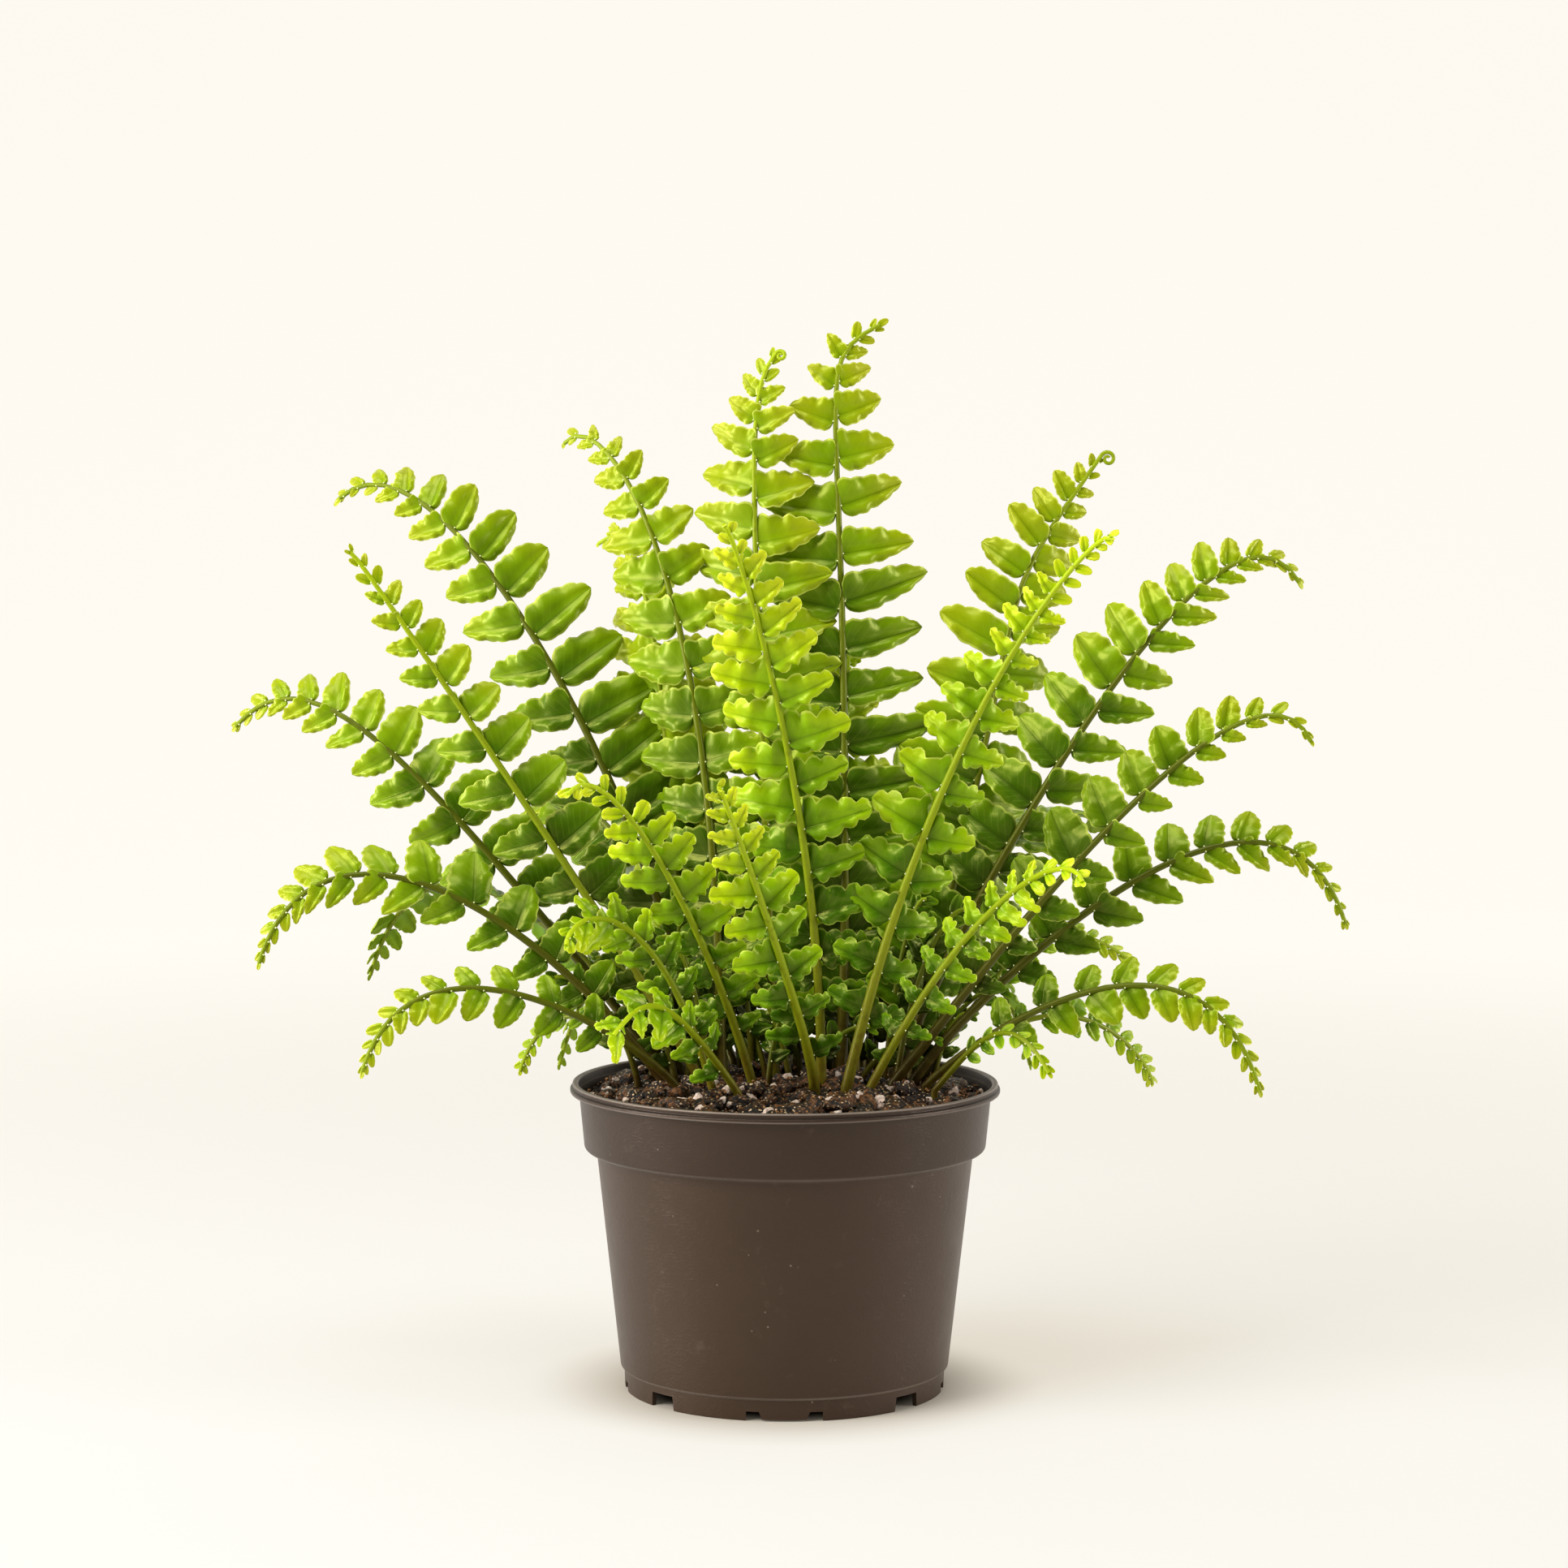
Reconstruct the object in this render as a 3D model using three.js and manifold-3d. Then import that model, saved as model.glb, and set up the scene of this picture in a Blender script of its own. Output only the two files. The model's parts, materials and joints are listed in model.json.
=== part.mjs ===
// A Boston fern growing in its plastic nursery pot, in millimetres, with +Z up.
// The origin lies on the pot's axis, on the surface that the pot stands on.
// +X is to the right and -Y is to the front, where the young yellow-green fronds grow.
import * as THREE from 'three';
import { mergeVertices } from 'three/addons/utils/BufferGeometryUtils.js';
import Module from 'manifold-3d';

const wasm = await Module();
wasm.setup();

// Pot
const potHeight = 86;
const lipRadius = 60;
const collarTopRadius = 57.5;
const collarBottomRadius = 56;
const collarBottom = 67.6;
const bodyTopRadius = 52.6;
const bodyTop = 66.6;
const ledgeRadius = 45.9;
const skirtTop = 6.2;
const skirtRadius = 44.8;
const wall = 1.5;
const floorUnderside = 3.2;
const potSides = 36;

// Notches in the pot's foot: wide ones with a hanging tab, narrow ones between them
const wideNotch = { halfWidth: 10.4, height: 2.6, tabHalfWidth: 6.6, tabClearance: 0.5 };
const narrowNotch = { halfWidth: 4.7, topHalfWidth: 4.2, height: 4, angle: 48.3 };
const drainHole = { radius: 5, fromAxis: 30, count: 4, sides: 8 };

// Soil
const soilEdgeHeight = 82.3;
const soilMound = 1.6;
const soilLump = 0.5;
const soilEdgeRadius = 55.2;
const soilRings = 3;
const soilSides = 28;
const touchGap = 0.3;

// Stems
const stemDepth = 75;
const stemCollar = 85.4;
const stemStart = 86;
const stemTipRadius = 0.5;
const stemFlatness = 0.7;
const bareStep = 18;
const kneeDepth = 0.2;
const crestDepth = 0.75;

// Leaflets
const bladeThickness = 0.7;
const leafSlant = 18;
const leafRaise = -6;
const smallestLeaf = 3;
const fullLeafFrom = 16;
const leafShareFrom = 0.12;
const leafShareSpan = 0.91;
const waveHeight = 1.2;
const bladeGap = 1.2;
const turnTries = [0, 14, -14, 28, -28, 42, -42];
const lengthTries = [1, 0.8, 0.6, 0.42];

// A leaflet's outline in shares: along the stem of the leaflet pitch, outward of the leaflet length,
// and up or down of the wave height. The lower edge is nearly straight and the upper one has an ear.
const fullLeaf = {
  lower: [[-0.07, 0.32, 0.6], [-0.04, 0.7, -0.7]],
  tip: [0.1, 1, -0.6],
  upper: [[0.84, 0.09, 0.4], [0.7, 0.4, -0.8], [0.46, 0.76, 0.8]],
};
const plainLeaf = {
  lower: [[-0.06, 0.5, 0.3]],
  tip: [0.14, 1, -0.5],
  upper: [[0.82, 0.14, 0.3], [0.56, 0.66, -0.3]],
};

// Every frond: where its stem stands in the soil, the knee and crest that bend its stem, its tip,
// the longest leaflet, the pairs of leaflets, the bare length of stem, the stem's radius at the soil,
// and the azimuth and elevation that its upper face looks toward.
const fronds = [
  { name: 'frond_young_front', root: [8, -17], knee: [8, 102], crest: [-19, 179], tip: [-17, -88, 174],
    leaf: 14.5, pairs: 7, bare: 8, stem: 1.7, face: [-82, 5] },
  { name: 'frond_young_tall', root: [10, -6], knee: [10, 168], crest: [-15, 243], tip: [-16, -76, 241],
    leaf: 18, pairs: 10, bare: 24, stem: 1.9, face: [-98, 5] },
  { name: 'frond_young_right', root: [17, -12], knee: [41, 195], crest: [82, 242], tip: [84, -68, 238],
    leaf: 17, pairs: 10, bare: 14, stem: 1.9, face: [-82, 15] },
  { name: 'frond_young_left', root: [-9, -7], knee: [-21, 132], crest: [-47, 185], tip: [-56, -80, 172],
    leaf: 15, pairs: 8, bare: 20, stem: 1.6, face: [-102, 15] },
  { name: 'frond_young_short_right', root: [23, -18], knee: [53, 148], crest: [75, 158], tip: [76, -84, 150],
    leaf: 12.5, pairs: 7, bare: 12, stem: 1.5, face: [-98, 25] },
  { name: 'frond_young_low_left', root: [-13, -22], knee: [-32, 116], crest: [-36, 121], tip: [-44, -91, 111],
    leaf: 12, pairs: 6, bare: 10, stem: 1.2, face: [-85, 45] },
  { name: 'frond_young_small_left', root: [-20, -16], knee: [-36, 145], crest: [-57, 141], tip: [-57, -72, 132],
    leaf: 11, pairs: 6, bare: 14, stem: 1.2, face: [-85, 30] },
  { name: 'frond_tall_right', root: [16, 14], knee: [20, 286], crest: [3, 285], tip: [26, 24, 297],
    leaf: 26, pairs: 11, bare: 18, stem: 1.9, face: [-84, 8] },
  { name: 'frond_tall_left', root: [-3, 12], knee: [-9, 254], crest: [-13, 277], tip: [-3, 20, 289],
    leaf: 23, pairs: 10, bare: 18, stem: 1.8, face: [-104, 8] },
  { name: 'frond_upright_left', root: [-18, 8], knee: [-19, 240], crest: [-55, 276], tip: [-64, 46, 264],
    leaf: 21, pairs: 10, bare: 22, stem: 1.8, face: [-108, 20] },
  { name: 'frond_upright_right', root: [34, 14], knee: [74, 241], crest: [54, 210], tip: [90, 36, 261],
    leaf: 21, pairs: 9, bare: 22, stem: 1.8, face: [-72, 20] },
  { name: 'frond_arching_left_high', root: [-23, 12], knee: [-36, 161], crest: [-100, 275], tip: [-130, 56, 248],
    leaf: 26, pairs: 10, bare: 30, stem: 1.9, face: [-102, 38] },
  { name: 'frond_arching_right_high', root: [31, 6], knee: [34, 102], crest: [119, 268], tip: [145, 24, 225],
    leaf: 22, pairs: 10, bare: 30, stem: 1.9, face: [-78, 35] },
  { name: 'frond_arching_left_middle', root: [-24, 1], knee: [-30, 102], crest: [-125, 243], tip: [-120, -6, 233],
    leaf: 20, pairs: 9, bare: 28, stem: 1.7, face: [-104, 50] },
  { name: 'frond_arching_right_middle', root: [30, -4], knee: [43, 102], crest: [125, 219], tip: [142, -26, 183],
    leaf: 17, pairs: 9, bare: 34, stem: 1.8, face: [-78, 42] },
  { name: 'frond_arching_left_wide', root: [-32, 7], knee: [-101, 172], crest: [-134, 209], tip: [-157, 30, 183],
    leaf: 18, pairs: 9, bare: 34, stem: 1.8, face: [-102, 48] },
  { name: 'frond_arching_right_wide', root: [36, 0], knee: [45, 103], crest: [136, 195], tip: [156.5, 4, 130],
    leaf: 18, pairs: 9, bare: 36, stem: 1.8, face: [-80, 50] },
  { name: 'frond_arching_left_low', root: [-34, -2], knee: [-73, 140], crest: [-130, 168], tip: [-144, -20, 121],
    leaf: 17, pairs: 9, bare: 32, stem: 1.7, face: [-104, 50] },
  { name: 'frond_hanging_left', root: [-30, -11], knee: [-47, 106], crest: [-101, 137], tip: [-113, -46, 95],
    leaf: 13, pairs: 8, bare: 24, stem: 1.5, face: [-106, 55] },
  { name: 'frond_hanging_right', root: [39, -9], knee: [54, 103], crest: [113, 143], tip: [128, -36, 89],
    leaf: 12.5, pairs: 8, bare: 26, stem: 1.5, face: [-76, 55] },
  { name: 'frond_small_left', root: [-34, 16], knee: [-52, 106], crest: [-70, 105], tip: [-77, 44, 82],
    leaf: 8, pairs: 5, bare: 20, stem: 1, face: [-90, 45] },
  { name: 'frond_small_right', root: [43, 6], knee: [81, 123], crest: [105, 87], tip: [106, 36, 80],
    leaf: 9, pairs: 6, bare: 24, stem: 1, face: [-90, 50] },
  { name: 'frond_short_right', root: [41, -18], knee: [53, 102], crest: [60, 114], tip: [70, -52, 96],
    leaf: 7, pairs: 5, bare: 14, stem: 1, face: [-90, 50] },
  { name: 'frond_drooping_right', root: [38, 20], knee: [58, 101], crest: [68, 138], tip: [100, 56, 114],
    leaf: 10, pairs: 6, bare: 22, stem: 1.2, face: [-90, 50] },
  { name: 'frond_light_behind_left', root: [-27, 20], knee: [-36, 239], crest: [-45, 242], tip: [-55, 64, 235],
    leaf: 18, pairs: 7, bare: 30, stem: 1.6, face: [-118, 15] },
  { name: 'frond_light_behind_right', root: [20, 25], knee: [13, 214], crest: [20, 211], tip: [20, 52, 213],
    leaf: 18, pairs: 6, bare: 30, stem: 1.5, face: [-72, 10] },
  { name: 'frond_back_upright', root: [3, 26], knee: [4, 175], crest: [12, 215], tip: [16, 88, 190],
    leaf: 19, pairs: 7, bare: 26, stem: 1.7, face: [70, 35] },
  { name: 'frond_back_left_upright', root: [-9, 30], knee: [-12, 165], crest: [-26, 208], tip: [-36, 90, 168],
    leaf: 18, pairs: 7, bare: 26, stem: 1.7, face: [158, 30] },
  { name: 'frond_back_left_arching', root: [-19, 28], knee: [-34, 140], crest: [-66, 185], tip: [-84, 86, 142],
    leaf: 18, pairs: 7, bare: 26, stem: 1.7, face: [150, 40] },
  { name: 'frond_back_left_wide', root: [-30, 25], knee: [-60, 122], crest: [-106, 165], tip: [-124, 76, 106],
    leaf: 15, pairs: 7, bare: 28, stem: 1.5, face: [125, 55] },
  { name: 'frond_back_right_upright', root: [13, 32], knee: [20, 155], crest: [44, 195], tip: [54, 89, 158],
    leaf: 18, pairs: 7, bare: 26, stem: 1.7, face: [22, 30] },
  { name: 'frond_back_right_arching', root: [29, 28], knee: [44, 140], crest: [84, 180], tip: [104, 80, 140],
    leaf: 18, pairs: 7, bare: 26, stem: 1.7, face: [30, 40] },
  { name: 'frond_back_low', root: [-3, 38], knee: [-4, 118], crest: [-8, 145], tip: [-10, 93, 76],
    leaf: 13, pairs: 6, bare: 22, stem: 1.4, face: [80, 55] },
  { name: 'frond_back_left_low', root: [-15, 38], knee: [-26, 112], crest: [-54, 132], tip: [-68, 84, 78],
    leaf: 13, pairs: 6, bare: 22, stem: 1.4, face: [140, 50] },
  { name: 'frond_back_right_low', root: [22, 38], knee: [32, 114], crest: [60, 134], tip: [74, 86, 78],
    leaf: 13, pairs: 6, bare: 22, stem: 1.4, face: [40, 50] },
];

const potColour = 0x4a3e35;
const soilColour = 0x3a2a1e;
const youngColour = 0xa9c61a;
const matureColour = 0x4c7a1c;
const greenerFrom = 18.5;

// Joins shared corners, drops faces without area and turns every face outward.
function weld(geometry) {
  const bare = geometry.clone();
  for (const name of Object.keys(bare.attributes)) {
    if (name !== 'position') bare.deleteAttribute(name);
  }
  const joined = mergeVertices(bare, 1e-3);
  const corners = joined.index.array;
  const faces = [];
  for (let i = 0; i < corners.length; i += 3) {
    const [a, b, c] = corners.slice(i, i + 3);
    if (a !== b && b !== c && c !== a) faces.push([a, b, c]);
  }
  const [a, b, c] = [new THREE.Vector3(), new THREE.Vector3(), new THREE.Vector3()];
  const place = joined.attributes.position;
  let volume = 0;
  for (const face of faces) {
    a.fromBufferAttribute(place, face[0]);
    b.fromBufferAttribute(place, face[1]);
    c.fromBufferAttribute(place, face[2]);
    volume += a.dot(b.cross(c));
  }
  if (volume < 0) faces.forEach((face) => face.reverse());
  joined.setIndex(faces.flat());
  return joined;
}

function solidOf(geometry) {
  const closed = weld(geometry);
  return new wasm.Manifold(new wasm.Mesh({
    numProp: 3,
    vertProperties: new Float32Array(closed.attributes.position.array),
    triVerts: new Uint32Array(closed.index.array),
  }));
}

function geometryOf(solid) {
  const mesh = solid.getMesh();
  const geometry = new THREE.BufferGeometry();
  geometry.setAttribute('position', new THREE.BufferAttribute(mesh.vertProperties, 3));
  geometry.setIndex(new THREE.BufferAttribute(mesh.triVerts, 1));
  return geometry;
}

// Turns a closed outline of [radius, height] points round the Z axis.
function turned(outline, sides) {
  const points = outline.map(([radius, height]) => new THREE.Vector2(radius, height));
  return new THREE.LatheGeometry(points, sides).rotateX(Math.PI / 2);
}

function potOutline() {
  return [
    [0, floorUnderside],
    [skirtRadius - wall, floorUnderside],
    [skirtRadius - wall, 0],
    [skirtRadius - 0.1, 0],
    [skirtRadius + 0.1, skirtTop],
    [ledgeRadius, skirtTop],
    [bodyTopRadius, bodyTop],
    [collarBottomRadius, collarBottom],
    [collarTopRadius, potHeight - 2.8],
    [lipRadius, potHeight - 2.8],
    [lipRadius, potHeight - 1.5],
    [lipRadius - 0.9, potHeight - 1.3],
    [lipRadius - 0.7, potHeight],
    [lipRadius - 2.4, potHeight],
    [collarBottomRadius - wall, collarBottom + 1],
    [bodyTopRadius - wall, bodyTop],
    [ledgeRadius - wall, floorUnderside + wall],
    [0, floorUnderside + wall],
  ];
}

// A cutter that reaches radially through the foot ring, its outline seen from outside the pot.
function footCutter(outline, angle) {
  const depth = 8;
  const shape = new THREE.Shape(outline.map(([x, z]) => new THREE.Vector2(x, z)));
  const cutter = new THREE.ExtrudeGeometry(shape, { depth, bevelEnabled: false, steps: 1 });
  cutter.rotateX(Math.PI / 2);
  cutter.translate(0, -(skirtRadius - depth + 2), 0);
  cutter.rotateZ(THREE.MathUtils.degToRad(angle));
  return solidOf(cutter);
}

function buildPot() {
  const below = -1;
  const wide = wideNotch;
  const wideOutline = [
    [-wide.halfWidth, below], [wide.halfWidth, below], [wide.halfWidth, wide.height],
    [wide.tabHalfWidth, wide.height], [wide.tabHalfWidth, wide.tabClearance],
    [-wide.tabHalfWidth, wide.tabClearance], [-wide.tabHalfWidth, wide.height],
    [-wide.halfWidth, wide.height],
  ];
  const narrow = narrowNotch;
  const narrowOutline = [
    [-narrow.halfWidth, below], [narrow.halfWidth, below],
    [narrow.topHalfWidth, narrow.height], [-narrow.topHalfWidth, narrow.height],
  ];
  let pot = solidOf(turned(potOutline(), potSides));
  for (const angle of [0, 90, 180, 270]) {
    pot = pot.subtract(footCutter(wideOutline, angle));
  }
  for (const angle of [0, 180]) {
    pot = pot.subtract(footCutter(narrowOutline, angle + narrow.angle));
    pot = pot.subtract(footCutter(narrowOutline, angle - narrow.angle));
  }
  for (let i = 0; i < drainHole.count; i += 1) {
    const hole = new THREE.CylinderGeometry(drainHole.radius, drainHole.radius, 4 * wall, drainHole.sides);
    hole.rotateX(Math.PI / 2);
    hole.translate(drainHole.fromAxis, 0, floorUnderside);
    hole.rotateZ(((i + 0.5) / drainHole.count) * 2 * Math.PI);
    pot = pot.subtract(solidOf(hole));
  }
  return geometryOf(pot);
}

// The height of the soil's top: a low mound with lumps.
function soilHeight(x, y) {
  const share = Math.hypot(x, y) / soilEdgeRadius;
  const lumps = Math.sin(0.31 * x + 1.1) * Math.cos(0.27 * y) + Math.sin(0.17 * (x - y));
  return soilEdgeHeight + soilMound * (1 - share * share) + soilLump * lumps;
}

function buildSoil(stems) {
  const inset = wall + touchGap;
  const outline = [
    [0, floorUnderside + wall + touchGap],
    [ledgeRadius - inset - touchGap, floorUnderside + wall + touchGap],
    [bodyTopRadius - inset - touchGap, bodyTop],
    [collarBottomRadius - inset - touchGap, collarBottom + 1.6],
  ];
  for (let i = 0; i < soilRings; i += 1) {
    outline.push([soilEdgeRadius * (1 - i / soilRings), soilEdgeHeight]);
  }
  outline.push([0, soilEdgeHeight]);
  const geometry = turned(outline, soilSides);
  const place = geometry.attributes.position;
  for (let i = 0; i < place.count; i += 1) {
    if (place.getZ(i) > soilEdgeHeight - 0.1) {
      place.setZ(i, soilHeight(place.getX(i), place.getY(i)));
    }
  }
  let soil = solidOf(geometry);
  for (const stem of stems) {
    soil = soil.subtract(stemHole(stem));
  }
  return geometryOf(soil);
}

// A plain hole for a stem, square to it and wider by the gap on every side.
function stemHole(stem) {
  const foot = stem.rings[0];
  const bottom = stemDepth - touchGap;
  const top = potHeight + 4;
  const across = 2 * (foot.radius + touchGap);
  const through = 2 * (foot.radius * stemFlatness + touchGap);
  const hole = new THREE.BoxGeometry(across, through, top - bottom);
  const turn = new THREE.Matrix4().makeBasis(foot.right, foot.up, foot.along);
  turn.setPosition(foot.centre.x, foot.centre.y, (top + bottom) / 2);
  return solidOf(hole.applyMatrix4(turn));
}

function toward([azimuth, elevation]) {
  const a = THREE.MathUtils.degToRad(azimuth);
  const e = THREE.MathUtils.degToRad(elevation);
  return new THREE.Vector3(Math.cos(e) * Math.cos(a), Math.cos(e) * Math.sin(a), Math.sin(e));
}

function stemPath(frond) {
  const [rootX, rootY] = frond.root;
  const [tipX, tipY, tipZ] = frond.tip;
  const depth = (share) => rootY + share * (tipY - rootY);
  return new THREE.CubicBezierCurve3(
    new THREE.Vector3(rootX, rootY, stemStart),
    new THREE.Vector3(frond.knee[0], depth(kneeDepth), frond.knee[1]),
    new THREE.Vector3(frond.crest[0], depth(crestDepth), frond.crest[1]),
    new THREE.Vector3(tipX, tipY, tipZ),
  );
}

// A section of a stem: its middle, the way it grows, and the sides of its blade.
function section(centre, along, face, radius) {
  const up = face.clone().addScaledVector(along, -face.dot(along)).normalize();
  const right = along.clone().cross(up);
  return { centre, along, up, right, radius };
}

// The share of the full leaflet length at a share of the way along the frond.
function leafShare(share) {
  return Math.sin(Math.PI * Math.min(0.995, share) ** 1.1) ** 0.6;
}

// Leaflets stand closer toward the tip.
function leafStation(share) {
  return share + 0.3 * share * (1 - share);
}

function buildStem(frond) {
  const path = stemPath(frond);
  const length = path.getLength();
  const face = toward(frond.face);
  const rings = [stemDepth, stemCollar].map((height) => section(
    new THREE.Vector3(frond.root[0], frond.root[1], height), new THREE.Vector3(0, 0, 1), face, frond.stem,
  ));
  const ringAt = (distance) => {
    const share = distance / length;
    const radius = THREE.MathUtils.lerp(frond.stem, stemTipRadius, share);
    return section(path.getPointAt(share), path.getTangentAt(share), face, radius);
  };
  const bareRings = Math.max(1, Math.round(frond.bare / bareStep));
  for (let i = 1; i <= bareRings; i += 1) {
    rings.push(ringAt((frond.bare * i) / bareRings));
  }
  const firstLeafRing = rings.length - 1;
  const steps = 2 * frond.pairs;
  const end = length - smallestLeaf;
  for (let i = 1; i <= steps; i += 1) {
    rings.push(ringAt(frond.bare + (end - frond.bare) * leafStation(i / steps)));
  }
  const tip = path.getPointAt(1);
  return { frond, path, length, rings, firstLeafRing, tip };
}

// The middle surface of a leaflet: its corners in order from the lower base corner round the tip.
function leafCorners(stem, index, turn, scale) {
  const lowerRing = stem.rings[stem.firstLeafRing + index];
  const upperRing = stem.rings[stem.firstLeafRing + index + 1];
  const side = index % 2 === 0 ? 1 : -1;
  const share = index / (2 * stem.frond.pairs);
  const length = Math.max(smallestLeaf, stem.frond.leaf * leafShare(leafShareFrom + leafShareSpan * share)) * scale;
  const shape = length > fullLeafFrom * scale && stem.frond.leaf > fullLeafFrom ? fullLeaf : plainLeaf;
  const pitch = 2 * lowerRing.centre.distanceTo(upperRing.centre);
  const angle = THREE.MathUtils.degToRad(leafRaise + turn);
  const along = lowerRing.along.clone().add(upperRing.along).normalize();
  const flat = section(lowerRing.centre, along, lowerRing.up, lowerRing.radius);
  const outward = flat.right.clone().multiplyScalar(side * Math.cos(angle));
  outward.addScaledVector(flat.up, Math.sin(angle));
  const up = along.clone().cross(outward).multiplyScalar(-side);
  const start = lowerRing.centre.clone().addScaledVector(flat.right, side * lowerRing.radius);
  const slant = Math.tan(THREE.MathUtils.degToRad(leafSlant));
  const wave = waveHeight * Math.min(1, length / stem.frond.leaf);
  const place = ([alongShare, outShare, waveShare]) => start.clone()
    .addScaledVector(along, alongShare * pitch + outShare * length * slant)
    .addScaledVector(outward, outShare * length)
    .addScaledVector(up, waveShare * wave);
  const lowerBase = start;
  const upperBase = upperRing.centre.clone().addScaledVector(upperRing.right, side * upperRing.radius);
  const corners = [
    lowerBase, ...shape.lower.map(place), place(shape.tip), ...shape.upper.map(place).reverse(), upperBase,
  ];
  return { stem, index, side, shape, corners, up, turn, scale };
}

// Splits a leaflet's outline into triangles by climbing its lower and upper edges together.
function leafFaces({ lower, tip, upper }) {
  const outward = [0, ...lower.map((point) => point[1]), tip[1], ...upper.map((point) => point[1]).reverse(), 0];
  const faces = [];
  let low = 0;
  let high = outward.length - 1;
  while (high - low > 1) {
    if (outward[low + 1] <= outward[high - 1]) {
      faces.push([low, low + 1, high]);
      low += 1;
    } else {
      faces.push([low, high - 1, high]);
      high -= 1;
    }
  }
  return faces;
}

function trianglesOf(leaf) {
  return leafFaces(leaf.shape).map(([a, b, c]) => new THREE.Triangle(
    leaf.corners[a], leaf.corners[b], leaf.corners[c],
  ));
}

// Points of a leaflet that are tested against its neighbours: its corners and the middles of its edges.
function probesOf(triangles) {
  const probes = [];
  for (const { a, b, c } of triangles) {
    for (const [p, q] of [[a, b], [b, c], [c, a]]) {
      probes.push(p, p.clone().lerp(q, 0.34), p.clone().lerp(q, 0.67));
    }
  }
  return probes;
}

function gapBetween(probes, triangles) {
  const nearest = new THREE.Vector3();
  let gap = Infinity;
  for (const probe of probes) {
    for (const triangle of triangles) {
      triangle.closestPointToPoint(probe, nearest);
      gap = Math.min(gap, nearest.distanceTo(probe));
    }
  }
  return gap;
}

function crosses(triangles, others) {
  const hit = new THREE.Vector3();
  const ray = new THREE.Ray();
  for (const { a, b, c } of triangles) {
    for (const [p, q] of [[a, b], [b, c], [c, a]]) {
      ray.origin.copy(p);
      ray.direction.copy(q).sub(p);
      const reach = ray.direction.length();
      ray.direction.normalize();
      for (const other of others) {
        const found = ray.intersectTriangle(other.a, other.b, other.c, false, hit);
        if (found && hit.distanceTo(p) < reach) return true;
      }
    }
  }
  return false;
}

// Whether a leaflet stays clear of every stem and of the leaflets that are already in place.
function isClear(leaf, placed, stems) {
  leaf.triangles = trianglesOf(leaf);
  leaf.ball = new THREE.Sphere().setFromPoints(leaf.corners);
  const probes = probesOf(leaf.triangles);
  for (const stem of stems) {
    const own = stem === leaf.stem;
    for (const { point, radius, station } of stem.beads) {
      const reach = radius + bladeThickness / 2 + touchGap;
      if (own && Math.abs(station - leaf.index) < 3) continue;
      if (leaf.ball.distanceToPoint(point) > reach) continue;
      if (gapBetween([point], leaf.triangles) < reach) return false;
    }
  }
  for (const other of placed) {
    if (leaf.ball.center.distanceTo(other.ball.center) > leaf.ball.radius + other.ball.radius + bladeGap) continue;
    const sameStem = other.stem === leaf.stem;
    if (sameStem && Math.abs(other.index - leaf.index) === 1) continue;
    const needed = sameStem ? touchGap : bladeGap;
    const outer = sameStem ? probes.filter((probe) => probe !== leaf.corners[0]) : probes;
    if (crosses(leaf.triangles, other.triangles) || crosses(other.triangles, leaf.triangles)) return false;
    if (gapBetween(outer, other.triangles) < needed) return false;
    if (!sameStem && gapBetween(probesOf(other.triangles), leaf.triangles) < needed) return false;
  }
  return true;
}

// Beads along a stem stand for it when leaflets are tested against it.
function addBeads(stem) {
  stem.beads = [];
  const rings = stem.rings;
  for (let i = 0; i + 1 < rings.length; i += 1) {
    const gap = rings[i].centre.distanceTo(rings[i + 1].centre);
    const steps = Math.ceil(gap / 2);
    for (let k = 0; k < steps; k += 1) {
      const share = k / steps;
      stem.beads.push({
        point: rings[i].centre.clone().lerp(rings[i + 1].centre, share),
        radius: THREE.MathUtils.lerp(rings[i].radius, rings[i + 1].radius, share),
        station: i + share - stem.firstLeafRing,
      });
    }
  }
}

// Grows the leaflets of all fronds. One that would cross a neighbour is turned about its stem, then shortened.
function growLeaves(stems) {
  const placed = [];
  for (const stem of stems) {
    stem.leaves = [];
    for (let index = 0; index < 2 * stem.frond.pairs; index += 1) {
      let leaf = null;
      for (const scale of lengthTries) {
        for (const turn of turnTries) {
          const tried = leafCorners(stem, index, turn, scale);
          if (isClear(tried, placed, stems)) {
            leaf = tried;
            break;
          }
        }
        if (leaf) break;
      }
      stem.leaves.push(leaf);
      if (leaf) placed.push(leaf);
    }
  }
  return placed;
}

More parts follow.
